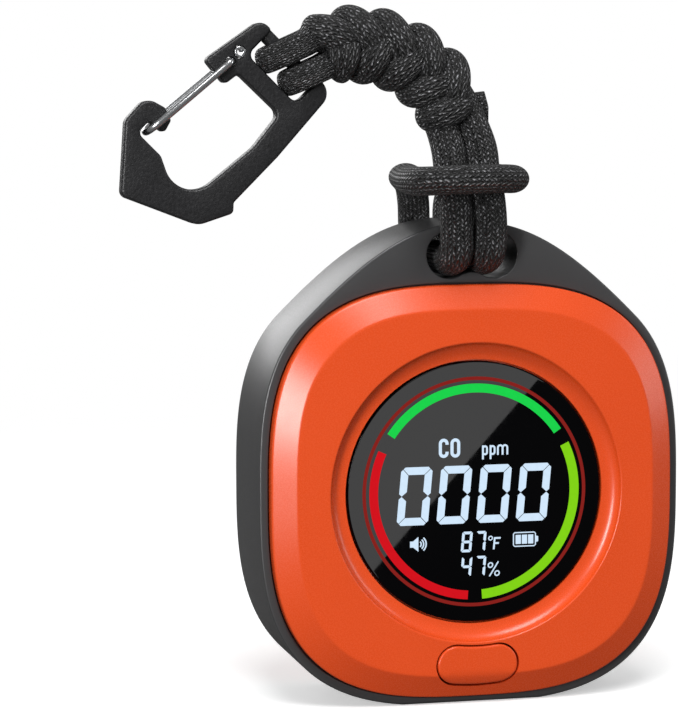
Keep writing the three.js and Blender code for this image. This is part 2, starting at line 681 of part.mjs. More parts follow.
// One turn of cord round the clip's bar, in the plane of X and Y, from the plait and back to it.
function clipLoop(place) {
  const radius = BAR_RADIUS + GAP + LOOP_SECTION[1] / 2;
  const middle = (LOOP_PLACES[0] + LOOP_PLACES[1]) / 2;
  const reach = LOOP_REACH + (place - middle) * Math.sin(THREE.MathUtils.degToRad(LOOP_SLANT));
  const path = new THREE.CurvePath();
  const straight = (from, to, y) =>
    new THREE.LineCurve3(new THREE.Vector3(from, y, 0), new THREE.Vector3(to, y, 0));
  const turn = (from) => (t) => {
    const angle = from + t * Math.PI;
    return new THREE.Vector3(radius * Math.cos(angle), radius * Math.sin(angle), 0);
  };
  const bend = new THREE.Curve();
  bend.getPoint = (t) => turn(-Math.PI / 2)(-t);
  path.add(straight(reach, 0, -radius));
  path.add(bend);
  path.add(straight(0, reach, radius));
  const section = cordSection(...LOOP_SECTION);
  return new THREE.ExtrudeGeometry(section, { steps: 16, bevelEnabled: false, extrudePath: path });
}

// ---- Clip ----

// The hook's outline: round the outside from the nose, then back along the window.
const CLIP_OUTLINE = [
  [-14.6, 8.6, 0.6],
  [-15.5, 11.8, 2.2],
  [-20.2, 11.6, 1.4],
  [-28.8, 4.1, 1.2],
  [-23.7, -7.4, 3],
  [-18.6, -10, 0.8],
  [-17.4, -8.9, 0.6],
  [-7.8, -8.9, 4],
  [5.2, -8.1, 2.4],
  [5.3, 7.5, 2.6],
  [-5.2, 9.4, 0.7],
  [-5.7, 4.6, 0.7],
  [-3.1, 4.2, 0.7],
  [-2.9, -4.5, 1.4],
  [-9.4, -5.2, 6],
  [-23.9, -3.6, 4.3],
  [-20.2, 4, 1.5],
  [-20.2, 8.9, 0.9],
  [-17.8, 8.9, 0.6],
  [-17.5, 6, 0.6],
  [-15.3, 6.6, 0.6],
];

function clipFrame() {
  const half = CLIP_THICK / 2;
  const barX = SLOT_WIDTH + BAR_RADIUS;
  const slot = roundedBox(barX, 0, 2 * barX, SLOT_LENGTH, SLOT_CORNER);
  let clip = bevelledPrism(roundedOutline(CLIP_OUTLINE), -half, half, CLIP_EDGE, 2);
  clip = clip.subtract(prism(slot, -half - 1, half + 1, 4));
  const bar = new THREE.CylinderGeometry(BAR_RADIUS, BAR_RADIUS, SLOT_LENGTH + 1, 12);
  clip = clip.add(solid(bar.rotateX(Math.PI / 2).translate(barX, 0, 0)));
  clip = clip.subtract(disc(...GATE_PIVOT, WIRE_RADIUS + GAP, -half - 1, half + 1, 16));
  return clip.subtract(disc(...RIVET_PLACE, RIVET[0] + GAP, -half - 1, half + 1, 20));
}

// The gate: one wire bent into a long U, with its two ends turned into the pivot hole.
function wireGate() {
  const side = CLIP_THICK / 2 + GAP + WIRE_RADIUS;
  const [px, pz] = GATE_PIVOT;
  const [ex, ez] = GATE_END;
  const slope = (pz - ez) / (px - ex);
  const along = (x, y) => [x, y, pz + slope * (x - px)];
  const route = [
    [px, PIVOT_STUB - side, pz],
    [px, WIRE_BEND / 2 - side, pz],
    along(px - WIRE_BEND / 4, -side),
    along(px - WIRE_BEND, -side),
    along(ex + WIRE_BEND, -side),
    [ex, WIRE_BEND - side, ez],
    [ex, side - WIRE_BEND, ez],
    along(ex + WIRE_BEND, side),
    along(px - WIRE_BEND, side),
    along(px - WIRE_BEND / 4, side),
    [px, side - WIRE_BEND / 2, pz],
    [px, side - PIVOT_STUB, pz],
  ];
  return cord(route, 2 * WIRE_RADIUS, 2 * WIRE_RADIUS, 44);
}

function gateRivet() {
  const half = CLIP_THICK / 2 + RIVET_PROUD;
  return disc(...RIVET_PLACE, RIVET[0], -half, half, 20).subtract(
    disc(...RIVET_PLACE, RIVET[1], -half - 1, half + 1, 16),
  );
}

// ---- Materials ----

function finish(color, roughness, metalness = 0) {
  return new THREE.MeshStandardMaterial({ color, roughness, metalness });
}

const ORANGE = finish(0xde562a, 0.45);
const GRAPHITE = finish(0x484848, 0.5, 0.3);
const GLASS = finish(0x050505, 0.05);
const PANEL = finish(0x101418, 0.3);
const DIFFUSER = finish(0xe8eef2, 0.5);
const WHITE_PLASTIC = finish(0xdcdcd6, 0.6);
const BOARD_GREEN = finish(0x1e5a34, 0.5);
const CHIP_BLACK = finish(0x18181a, 0.4);
const STEEL = finish(0xc8ccd0, 0.2, 1);
const SENSOR_WHITE = finish(0xe6e2d6, 0.5);
const FELT = finish(0x777a7c, 0.9);
const FOIL = finish(0xb8bcc0, 0.35, 0.8);
const FOAM = finish(0x2a2a2c, 0.95);
const MAGNET_NICKEL = finish(0xb4b4b0, 0.25, 1);
const CORD_BLACK = finish(0x141414, 0.9);
const POWDER_BLACK = finish(0x2a2a2a, 0.6, 0.2);

// ---- Assembly ----

function add(parent, name, material, shape) {
  const geometry = shape instanceof THREE.BufferGeometry ? shape : surface(shape);
  const mesh = new THREE.Mesh(geometry, material);
  mesh.name = name;
  parent.add(mesh);
  return mesh;
}

const detector = new THREE.Group();
detector.position.y = -MIDDLE_Y;

function addHousing() {
  add(detector, "mid_frame", GRAPHITE, midFrame());
  add(detector, "front_cover", ORANGE, frontCover());
  add(detector, "rear_cover", ORANGE, rearCover());
  add(detector, "test_button", ORANGE, testButton());
  const [lensFront, lensBack] = [-LENS_PROUD, LENS_THICK - LENS_PROUD];
  add(detector, "display_lens", GLASS, disc(0, CENTRE_Z, LENS_RADIUS, lensFront, lensBack, 60));
  const head = REAR_FACE - SCREW_RECESS + GAP;
  frontAngles.forEach((degrees, i) => {
    const [x, z] = onCircle(SCREW_CIRCLE, degrees);
    add(detector, `rear_screw_${i + 1}`, STEEL, screw(SCREW_HEAD, SCREW_SHANK)).position.set(x, head, z);
  });
}

function addDisplay() {
  add(detector, "lcd_panel", PANEL, disc(0, CENTRE_Z, LCD_RADIUS, LEDGE_FACE, LCD_BACK, 36));
  const front = LCD_BACK + GAP;
  const radius = LCD_RADIUS + BACKLIGHT_LIP;
  add(detector, "backlight", DIFFUSER, disc(0, CENTRE_Z, radius, front, front + BACKLIGHT_THICK, 36));
  add(detector, "display_holder", WHITE_PLASTIC, displayHolder());
}

function addElectronics() {
  add(detector, "main_board", BOARD_GREEN, mainBoard());
  add(detector, "tact_switch", CHIP_BLACK, tactSwitch());
  add(detector, "microcontroller", CHIP_BLACK, chip(CHIP, CHIP_PLACE));
  add(detector, "climate_sensor", STEEL, chip(CLIMATE_CHIP, CLIMATE_PLACE));
  const sensor = (radius) => (x, z, front, back) => disc(x, z, radius, front, back, 32);
  add(detector, "co_sensor", SENSOR_WHITE, onBoard(SENSOR_PLACE, SENSOR_HEIGHT, sensor(SENSOR_RADIUS)));
  const felt = onBoard(SENSOR_PLACE, FILTER_THICK, sensor(SENSOR_RADIUS - 1));
  add(detector, "sensor_filter", FELT, felt).position.y = SENSOR_HEIGHT + GAP;
  add(detector, "buzzer", CHIP_BLACK, buzzer());
  add(detector, "battery_pad", FOAM, batteryPad());
  add(detector, "battery_cell", FOIL, batteryCell());
  add(detector, "charge_board", BOARD_GREEN, chargeBoard());
  add(detector, "charge_port", STEEL, chargePort());
  const link = block(0, LINK_Z, ...LINK, BOARD_BACK + GAP, CHARGE_FACE - GAP);
  add(detector, "board_link", CHIP_BLACK, link);
  POST_ANGLES.forEach((degrees, i) => {
    const [x, z] = onCircle(POST_CIRCLE, degrees);
    const fastener = add(detector, `board_screw_${i + 1}`, STEEL, screw(BOARD_SCREW_HEAD, BOARD_SCREW_SHANK));
    fastener.position.set(x, BOARD_BACK + GAP, z);
  });
}

function addMagnet() {
  const front = POCKET_FLOOR - GAP - MAGNET_THICK;
  add(detector, "magnet", MAGNET_NICKEL, disc(0, CENTRE_Z, MAGNET_RADIUS, front, front + MAGNET_THICK, 36));
  const back = POCKET_FLOOR - MAGNET_THICK - 2 * GAP;
  const radius = MAGNET_RADIUS + POCKET_WALL;
  const plate = disc(0, CENTRE_Z, radius, back - RETAINER_THICK, back, 36);
  add(detector, "magnet_retainer", WHITE_PLASTIC, plate);
}

function addLanyard() {
  const lanyard = new THREE.Group();
  lanyard.position.z = EYE_Z;
  detector.add(lanyard);
  add(lanyard, "hitch_cord", CORD_BLACK, cord(HITCH_ROUTE, CORD_DIAMETER, CORD_DIAMETER, HITCH_STEPS));
  add(lanyard, "plait", CORD_BLACK, plait());
  const clip = new THREE.Group();
  clip.position.set(...CLIP_PLACE);
  clip.rotation.y = THREE.MathUtils.degToRad(CLIP_TURN);
  lanyard.add(clip);
  add(clip, "clip_frame", POWDER_BLACK, clipFrame());
  add(clip, "wire_gate", STEEL, wireGate());
  add(clip, "gate_rivet", STEEL, gateRivet());
  LOOP_PLACES.forEach((place, i) => {
    const loop = add(clip, `clip_loop_${i + 1}`, CORD_BLACK, clipLoop(place));
    loop.position.set(SLOT_WIDTH + BAR_RADIUS, 0, place);
    loop.rotation.y = THREE.MathUtils.degToRad(LOOP_SLANT);
  });
}

addHousing();
addDisplay();
addElectronics();
addMagnet();
addLanyard();

export default detector;
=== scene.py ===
"""Looks of a portable carbon monoxide detector with a paracord lanyard and a wire-gate clip.

Shapes are worked out in millimetres in the housing's own frame: X to the right, depth from the
frame's front face towards the back, Z up from the flat base. to_row() turns them to metres.
"""

import json
import math

import bpy
import numpy as np
from mathutils import Matrix
from mathutils.geometry import delaunay_2d_cdt


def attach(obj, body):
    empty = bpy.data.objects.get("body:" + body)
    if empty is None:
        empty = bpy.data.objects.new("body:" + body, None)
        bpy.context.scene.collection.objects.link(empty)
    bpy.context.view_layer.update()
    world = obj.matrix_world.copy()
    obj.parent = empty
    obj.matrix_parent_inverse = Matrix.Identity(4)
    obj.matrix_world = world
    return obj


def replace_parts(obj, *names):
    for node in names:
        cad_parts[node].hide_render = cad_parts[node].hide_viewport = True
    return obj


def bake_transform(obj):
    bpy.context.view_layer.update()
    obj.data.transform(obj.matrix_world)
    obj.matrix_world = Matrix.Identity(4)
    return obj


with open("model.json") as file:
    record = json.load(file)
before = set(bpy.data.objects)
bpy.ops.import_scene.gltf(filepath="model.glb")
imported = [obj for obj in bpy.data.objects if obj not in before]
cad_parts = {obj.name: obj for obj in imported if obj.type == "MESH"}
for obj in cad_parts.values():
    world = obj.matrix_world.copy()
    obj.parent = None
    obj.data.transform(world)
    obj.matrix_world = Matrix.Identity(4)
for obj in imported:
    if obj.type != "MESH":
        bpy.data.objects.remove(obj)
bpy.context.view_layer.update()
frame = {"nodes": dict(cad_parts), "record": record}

# ---- Sizes, in millimetres, the same as the solid model's ----

MIDDLE_DEPTH = 9.3  # from the frame's front face to the middle of the whole thickness
CENTRE_Z = 33.6
EYE_Z = 70.6
BODY_HALF = 34
SQUARE = 3  # exponent of the rounded square
BASE_CUT = 0.4
BODY_HEIGHT = 75.8
LUG_TIP = 9.5
LUG_FLANK = 14.1
FRAME_DEPTH = 19.2
COVER_HALF = 32.4
GAP = 0.3
CORD = 5.2
LENS = 20.5  # radius of the display glass
GLASS_FRONT = -1.64  # depth of the glass's face
SCREW_CIRCLE = 28.4  # radius on which the rear screws lie
SCREW_ANGLES = (90, 211, -31)  # degrees, as seen from behind
PORT_Z = 6.8  # height of the charging port's middle
VENT_START = 27.3  # from the centre to a vent's inner end
VENT_WIDTH = 1.15

# ---- Points, meshes and pieces ----


def to_row(points):
    """Millimetres in the housing's frame as metres in the row frame."""
    return (np.asarray(points, float) - (0, MIDDLE_DEPTH, 0)) * 0.001


def unit(vectors):
    """Each vector at length one."""
    return vectors / np.linalg.norm(vectors, axis=-1, keepdims=True)


def make_piece(name, points, faces, body, material):
    """A mesh object from points in millimetres, smooth except on the faces that lie flat across the depth."""
    mesh = bpy.data.meshes.new(name)
    mesh.from_pydata(to_row(points).tolist(), [], faces.tolist() if hasattr(faces, "tolist") else faces)
    piece = bpy.data.objects.new(name, mesh)
    bpy.context.scene.collection.objects.link(piece)
    return dress(piece, body, material)


def turn_outwards(mesh):
    """Turns a closed mesh's faces round if the volume that they enclose comes out negative."""
    mesh.calc_loop_triangles()
    corners = np.empty(3 * len(mesh.loop_triangles), np.int32)
    places = np.empty(3 * len(mesh.vertices), np.float32)
    mesh.loop_triangles.foreach_get("vertices", corners)
    mesh.vertices.foreach_get("co", places)
    a, b, c = places.reshape(-1, 3).astype(float)[corners.reshape(-1, 3)].transpose(1, 0, 2)
    if np.einsum("ij,ij->", a, np.cross(b, c)) < 0:
        mesh.flip_normals()


def dress(piece, body, material):
    """Shades a piece, gives it its material and lets it ride on its body."""
    mesh = piece.data
    mesh.validate()
    turn_outwards(mesh)
    normals = np.empty(3 * len(mesh.polygons), np.float32)
    mesh.polygons.foreach_get("normal", normals)
    flat = np.abs(normals.reshape(-1, 3)[:, 1]) > 0.9999
    mesh.polygons.foreach_set("use_smooth", ~flat)
    mesh.set_sharp_from_angle(angle=math.radians(38))
    mesh.materials.clear()
    mesh.materials.append(material)
    if body:
        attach(piece, body)
    return piece


def grid_faces(rows, columns, closed_rows=False, closed_columns=True):
    """Quads of a grid of rows x columns points, joined end to end where it is closed."""
    r = np.arange(rows if closed_rows else rows - 1)[:, None]
    c = np.arange(columns if closed_columns else columns - 1)[None, :]
    r2, c2 = (r + 1) % rows, (c + 1) % columns
    corners = [r * columns + c, r * columns + c2, r2 * columns + c2, r2 * columns + c]
    return np.stack(np.broadcast_arrays(*corners), -1).reshape(-1, 4)


# ---- Curves ----


def smooth_path(points, step):
    """A centripetal Catmull-Rom curve through the points, resampled to even steps along its length."""
    p = np.asarray(points, float)
    p = np.vstack([2 * p[0] - p[1], p, 2 * p[-1] - p[-2]])
    t = np.concatenate([[0], np.cumsum(np.linalg.norm(np.diff(p, axis=0), axis=1) ** 0.5)])
    u = np.linspace(t[1], t[-2], 40 * len(points))
    i = np.clip(np.searchsorted(t, u, side="right") - 1, 1, len(p) - 3)

    def mix(a, b, ta, tb):
        """The point between a and b at each u, by where u lies between the knots ta and tb."""
        w = ((u - ta) / (tb - ta))[:, None]
        return a * (1 - w) + b * w

    t0, t1, t2, t3 = t[i - 1], t[i], t[i + 1], t[i + 2]
    a1 = mix(p[i - 1], p[i], t0, t1)
    a2 = mix(p[i], p[i + 1], t1, t2)
    a3 = mix(p[i + 1], p[i + 2], t2, t3)
    b1, b2 = mix(a1, a2, t0, t2), mix(a2, a3, t1, t3)
    return resample(mix(b1, b2, t1, t2), step)


def resample(path, step):
    """The same line at even steps."""
    run = np.concatenate([[0], np.cumsum(np.linalg.norm(np.diff(path, axis=0), axis=1))])
    even = np.linspace(0, run[-1], max(3, round(run[-1] / step) + 1))
    return np.stack([np.interp(even, run, path[:, k]) for k in range(3)], -1)


def carried_frames(path):
    """Tangents along a path, and a normal carried along it without twist."""
    tangents = unit(np.gradient(path, axis=0))
    normals = np.empty_like(tangents)
    first = np.cross(tangents[0], (0, 1, 0) if abs(tangents[0][1]) < 0.9 else (1, 0, 0))
    normals[0] = unit(first)
    for i in range(1, len(path)):  # each normal is the last one, square to the new tangent
        turned = normals[i - 1] - tangents[i] * np.dot(normals[i - 1], tangents[i])
        normals[i] = unit(turned)
    return tangents, normals, np.cross(tangents, normals)


def tube(name, path, width, thick, flat_way, sides, material, slot, body, pitch, caps=(0, 0)):
    """A cord's surface: an ellipse of width x thick, with its width along flat_way, carried along a path.

    width and thick are numbers or one value for each point. The UV map counts millimetres along the
    cord and shares of a turn around it. caps rounds an end over that many millimetres.
    """
    tangents, normals, sides_way = carried_frames(path)
    angle = 2 * np.pi * np.arange(sides) / sides
    out = normals[:, None] * np.cos(angle)[:, None] + sides_way[:, None] * np.sin(angle)[:, None]
    wide = unit(flat_way - tangents * (tangents @ np.asarray(flat_way, float))[:, None])
    share = np.einsum("ijk,ik->ij", out, wide) ** 2
    a = (np.broadcast_to(width, len(path)) / 2)[:, None]
    b = (np.broadcast_to(thick, len(path)) / 2)[:, None]
    radius = 1 / np.sqrt(share / a**2 + (1 - share) / b**2)
    run = np.concatenate([[0], np.cumsum(np.linalg.norm(np.diff(path, axis=0), axis=1))])
    for cap, away in ((caps[0], run), (caps[1], run[-1] - run)):
        if cap:
            radius *= np.sqrt(np.clip(1 - np.clip(1 - away / cap, 0, 1) ** 2, 0.02, 1))[:, None]
    points = path[:, None] + out * radius[..., None]
    rings = len(path)
    points = np.vstack([points.reshape(-1, 3), path[:1], path[-1:]])
    k = np.arange(sides)
    last = (rings - 1) * sides
    start = np.stack([np.full(sides, rings * sides), (k + 1) % sides, k], -1)
    end = np.stack([np.full(sides, rings * sides + 1), last + k, last + (k + 1) % sides], -1)
    faces = grid_faces(rings, sides).tolist() + start.tolist() + end.tolist()
    piece = make_piece(name, points, faces, body, material)
    along = np.append(np.repeat(run, sides), [0, run[-1]]) / pitch
    around = np.append(np.tile(np.arange(sides) / sides, rings), [0, 0])
    map_around(piece.data, along, around)
    return piece


def map_around(mesh, along, around):
    """A UV map from each point's place along the cord and its share of a turn around it.

    A face that closes the turn has its corners from the turn's start moved one turn on.
    """
    corners = np.empty(len(mesh.loops), np.int32)
    totals = np.empty(len(mesh.polygons), np.int32)
    mesh.loops.foreach_get("vertex_index", corners)
    mesh.polygons.foreach_get("loop_total", totals)
    owner = np.repeat(np.arange(len(totals)), totals)
    turn = around[corners]
    lowest, highest = np.full(len(totals), 2.0), np.zeros(len(totals))
    np.minimum.at(lowest, owner, turn)
    np.maximum.at(highest, owner, turn)
    closing = (highest - lowest > 0.5)[owner]
    turn = np.where(closing & (turn < 0.5), turn + 1, turn)
    layer = mesh.uv_layers.new(name="UVMap")
    layer.data.foreach_set("uv", np.stack([along[corners], turn], -1).astype(np.float32).ravel())


# ---- Materials ----


def linear(hex_colour):
    """An sRGB hex colour as linear RGBA."""
    srgb = np.array([int(hex_colour[i : i + 2], 16) for i in (0, 2, 4)]) / 255
    low, high = srgb / 12.92, ((srgb + 0.055) / 1.055) ** 2.4
    return (*np.where(srgb <= 0.04045, low, high).tolist(), 1.0)


def add_node(tree, kind, settings):
    """Adds a node with its settings and links.

    Each key is a property, or a socket by name or place. A socket takes a value or another's output.
    """
    node = tree.nodes.new("ShaderNode" + kind)
    for key, value in settings.items():
        if isinstance(key, str) and key not in node.inputs:
            setattr(node, key, value)
        elif isinstance(value, bpy.types.NodeSocket):
            tree.links.new(value, node.inputs[key])
        else:
            node.inputs[key].default_value = value
    return node


def new_material(name, colour, roughness, metallic=0.0, **shader):
    """A material with a plain Principled surface. Returns the material, its tree and its shader node."""
    material = bpy.data.materials.new(name)
    material.use_nodes = True
    tree = material.node_tree
    surface = tree.nodes["Principled BSDF"]
    surface.inputs["Base Color"].default_value = linear(colour)
    surface.inputs["Roughness"].default_value = roughness
    surface.inputs["Metallic"].default_value = metallic
    for key, value in shader.items():
        surface.inputs[key.replace("_", " ")].default_value = value
    return material, tree, surface


def grained(
    name, colour, darker, roughness, grain_mm, bump_mm, metallic=0.0, spread=0.08, tone_mm=16, **shader
):
    """A surface with an even grain, which lifts the normal and shifts the roughness.

    Its tone drifts between two colours over patches of tone_mm.
    """
    material, tree, surface = new_material(name, colour, roughness, metallic, **shader)
    place = add_node(tree, "TexCoord", {}).outputs["Object"]
    fine = {"Scale": 1000 / grain_mm, "Detail": 3.0, "Roughness": 0.6}
    grain = add_node(tree, "TexNoise", {"Vector": place, **fine})
    slow = add_node(tree, "TexNoise", {"Vector": place, "Scale": 1000 / tone_mm, "Detail": 2.0})
    limits = {"From Min": 0.3, "From Max": 0.7, "To Min": roughness - spread, "To Max": roughness + spread}
    ramp = add_node(tree, "MapRange", {"Value": grain.outputs["Fac"], **limits})
    tones = {"data_type": "RGBA", 0: slow.outputs["Fac"], 6: linear(darker), 7: linear(colour)}
    lift = {"Strength": 0.5, "Distance": bump_mm * 0.001}
    bump = add_node(tree, "Bump", {**lift, "Height": grain.outputs["Fac"]})
    tree.links.new(ramp.outputs[0], surface.inputs["Roughness"])
    tree.links.new(add_node(tree, "Mix", tones).outputs[2], surface.inputs["Base Color"])
    tree.links.new(bump.outputs[0], surface.inputs["Normal"])
    return material


PICK = 0.75  # length of one pick of the cord's sleeve, mm
CARRIERS = 24  # picks around the cord


def braided_nylon():
    """Braided nylon paracord: picks slant left and right in turn around the cord, glossy on their crowns.

    A column of picks is one carrier wide. Within a pick, across and run go from -1/2 to 1/2, and the
    crown's height is 1 - 3.4 (across^2 + run^2), where neighbouring columns lean opposite ways.
    """
    gloss = {"Sheen_Weight": 0.03, "Sheen_Roughness": 0.4, "Specular_IOR_Level": 0.6}
    material, tree, surface = new_material("paracord_nylon_black_braided", "0B0B0C", 0.42, **gloss)
    coordinates = add_node(tree, "TexCoord", {})
    uv = add_node(tree, "SeparateXYZ", {0: coordinates.outputs["UV"]})
    fibre = {"Vector": coordinates.outputs["Object"], "Scale": 2600.0, "Detail": 2.0}
    fibre = add_node(tree, "TexNoise", fibre).outputs["Fac"]
    limits = {"From Min": 0.5, "From Max": 0.7}
    shine = add_node(tree, "MapRange", {"Value": fibre, **limits}).outputs[0]
    known = {"along": uv.outputs["X"], "around": uv.outputs["Y"], "fibre": fibre, "shine": shine}
    for result, operation, first, second in (
        ("column", "MULTIPLY", "around", CARRIERS),
        ("column share", "FRACT", "column", 0.0),
        ("across", "SUBTRACT", "column share", 0.5),
        ("column number", "FLOOR", "column", 0.0),
        ("odd", "MODULO", "column number", 2.0),
        ("both leans", "MULTIPLY", "odd", 1.8),
        ("lean", "SUBTRACT", "both leans", 0.9),
        ("slant", "MULTIPLY", "lean", "across"),
        ("slid", "ADD", "along", "slant"),
        ("half a pick", "MULTIPLY", "odd", 0.5),
        ("place", "ADD", "slid", "half a pick"),
        ("pick share", "FRACT", "place", 0.0),
        ("run", "SUBTRACT", "pick share", 0.5),
        ("across squared", "MULTIPLY", "across", "across"),
        ("run squared", "MULTIPLY", "run", "run"),
        ("distance squared", "ADD", "across squared", "run squared"),
        ("fall", "MULTIPLY", "distance squared", 3.4),
        ("rise", "SUBTRACT", 1.0, "fall"),
        ("crown", "MAXIMUM", "rise", 0.0),
        ("fibre lift", "MULTIPLY", "fibre", 0.25),
        ("height", "ADD", "crown", "fibre lift"),
        ("crown squared", "MULTIPLY", "crown", "crown"),
        ("painted_glint", "MULTIPLY", "crown squared", "shine"),
    ):
        terms = {0: known.get(first, first), 1: known.get(second, second)}
        known[result] = add_node(tree, "Math", {"operation": operation, **terms}).outputs[0]
    crown = known["crown"]
    bump = add_node(tree, "Bump", {"Strength": 1.0, "Distance": 0.00045, "Height": known["height"]})
    # painted highlight: bright fibres on each pick's crown are painted light grey into the black, where
    # glossy fibres would catch the lamps
    tones = {"data_type": "RGBA", 0: known["painted_glint"], 6: linear("020202"), 7: linear("A8A8AC")}
    rough = add_node(tree, "MapRange", {"Value": crown, "To Min": 0.9, "To Max": 0.22})
    tree.links.new(add_node(tree, "Mix", tones).outputs[2], surface.inputs["Base Color"])
    tree.links.new(rough.outputs[0], surface.inputs["Roughness"])
    tree.links.new(bump.outputs[0], surface.inputs["Normal"])
    return material


# Braided nylon: black, with a painted highlight of bright fibres on the crown of each pick, and the bump's
# deep shade between them
NYLON = braided_nylon()

# ---- Camera ----


def place_camera():
    """A camera to the left of the front and a little above it, turned slightly about its own axis."""
    yaw, pitch, roll = 0.2308, 0.0888, -0.0038
    target = to_row((-21.272, 0, 54.803))
    level = np.array([-math.sin(yaw), -math.cos(yaw), 0])
    back = math.cos(pitch) * level + math.sin(pitch) * np.array([0, 0, 1])
    right = unit(np.cross(-back, (0, 0, 1)))
    up = np.cross(right, -back)
    across = math.cos(roll) * right + math.sin(roll) * up
    upright = math.cos(roll) * up - math.sin(roll) * right
    data = bpy.data.cameras.new("camera")
    data.lens = 131.61
    data.clip_start = 0.01
    camera = bpy.data.objects.new("camera", data)
    bpy.context.scene.collection.objects.link(camera)
    place = np.eye(4)
    place[:3, :3] = np.stack([across, upright, back], -1)
    place[:3, 3] = target + 0.40502 * back
    camera.matrix_world = Matrix(place.tolist())
    bpy.context.scene.camera = camera


place_camera()

# ---- Lanyard cords ----

FRONT_RUN = -CORD / 2 - GAP
BACK_RUN = FRAME_DEPTH + CORD / 2 + GAP

# The hitch, from inside the plait down through the eye, round the front and back up. Heights from the eye.
HITCH = [
    (-6.9, 1.2, 25.6),
    (-6.1, 0.2, 22.6),
    (-5.1, -0.9, 19.7),
    (-4.4, -1.7, 16.4),
    (-4.1, -2.5, 12.4),
    (-3.5, FRONT_RUN, 8.4),
    (-3.3, FRONT_RUN, 3.4),
    (-3.2, -2.3, 0.5),
    (-3.2, 0.2, -0.6),
    (-3.2, 4.8, -0.7),
    (-3.3, 14.4, -0.5),
    (-3.4, 19, 0),
    (-3.4, BACK_RUN - 0.7, 1.3),
    (-3.5, BACK_RUN, 4.2),
    (-3.6, BACK_RUN, 7.4),
    (-4.4, BACK_RUN - 1.4, 10.4),
    (-6.2, 17, 11.7),
    (-7.5, 11, 11.8),
    (-8.7, 4.5, 11.6),
    (-9.2, -1.2, 11.5),
    (-8.2, -5.5, 11.6),
    (-5, -8, 11.8),
    (-0.8, -8.3, 11.9),
    (2.7, -7.4, 11.9),
    (5.0, -4.4, 11.8),
    (5.7, 0.5, 11.7),
    (5.5, 7, 11.8),
    (5.1, 14, 11.8),
    (3.6, BACK_RUN - 2.2, 11),
    (2.5, BACK_RUN - 0.1, 7.8),
    (2.3, BACK_RUN, 4.2),
    (2.2, BACK_RUN - 0.7, 1.3),
    (2.1, 19, 0),
    (2, 14.4, -0.4),
    (2, 4.8, -0.6),
    (2, 0.2, -0.5),
    (2, -2.3, 0.6),
    (2.1, FRONT_RUN, 3.4),
    (1.8, FRONT_RUN, 8.4),
    (1.1, -2.5, 12.4),
    (0.8, -1.7, 16.4),
    (-0.2, -0.9, 19.7),
    (-1.2, 0.2, 22.6),
    (-2.6, 1.2, 25.4),
]

# The plait's centre line, from the clip to the hitch. Heights from the eye.
PLAIT = [
    (-23.7, 0, 31.4),
    (-22, 0, 32.1),
    (-19.1, 0, 32.5),
    (-14.7, 0, 32),
    (-10.75, 0, 30.5),
    (-7.4, 0, 28.2),
    (-4.9, 0, 25.4),
    (-3.3, -0.3, 23),
    (-2.75, -0.6, 21),
]

# Where each strand of the plait crosses its own edge, in millimetres along the centre line
OUTER_CROSSINGS = [0.2, 4.3, 8.9, 14, 19.1, 24.6]
INNER_CROSSINGS = [1.4, 6.9, 12.3, 18, 24.4]


def on_plait(along, lateral, depth):
    """Points beside the plait's centre line: along it, outwards from its bend, and in depth."""
    line = smooth_path(np.add(PLAIT, (0, 0, EYE_Z)), 0.2)
    run = np.concatenate([[0], np.cumsum(np.linalg.norm(np.diff(line, axis=0), axis=1))])
    tangent = unit(np.gradient(line, axis=0) * (1, 0, 1))
    along = np.asarray(along, float)
    inside = np.clip(along, 0, run[-1])
    point = np.stack([np.interp(inside, run, line[:, k]) for k in range(3)], -1)
    way = unit(np.stack([np.interp(inside, run, tangent[:, k]) for k in range(3)], -1))
    outward = np.stack([-way[:, 2], 0 * way[:, 0], way[:, 0]], -1)
    point = point + way * (along - inside)[:, None] + outward * np.asarray(lateral)[:, None]
    point[:, 1] += depth
    return point


def coil(crossings, middle, reach, depth, lean, turns):
    """One strand of the plait: it circles a line beside the centre line and leans along it.

    At angle t, lateral = middle + reach cos t and depth = -depth sin t, so the strand passes in front
    from its edge to the middle and behind on its way back.
    """
    angle = np.linspace(0, turns * 2 * np.pi, round(turns * 24) + 1)
    edge = np.interp(angle / (2 * np.pi), np.arange(len(crossings)), crossings)
    lateral = middle + reach * np.cos(angle)
    along = edge + lean * abs(reach) * (1 - np.cos(angle))
    swell = 1 + 0.35 * np.exp(-angle / 2)  # the first turn lies over the strand's way in
    return on_plait(along, lateral, -depth * swell * np.sin(angle))


BAR_WAY = np.array([0.914, 0, 0.407])  # from the clip's bar towards the plait


def clip_turn(bar, reach):
    """A strand's way from the plait round the clip's bar and back, in front of it first."""
    out, deep = 3.15, 2.6
    angle = np.linspace(-np.pi / 2, -3 * np.pi / 2, 9)
    bend = np.stack([out * np.cos(angle), deep * np.sin(angle)], -1)
    legs = [(reach, -deep * 0.5), (reach * 0.6, -deep), *bend, (reach * 0.6, deep), (reach, deep)]
    return np.array([np.add(bar, BAR_WAY * t) + (0, y, 0) for t, y in legs])


def strand(bar, reach, lead_in, turns_path, tail):
    """A whole strand: from inside the plait round the clip's bar, through its coil to its tail."""
    start = on_plait(*np.transpose(lead_in))
    end = on_plait(*np.transpose(tail))
    return smooth_path(np.vstack([start, clip_turn(bar, reach), turns_path, end]), 0.35)


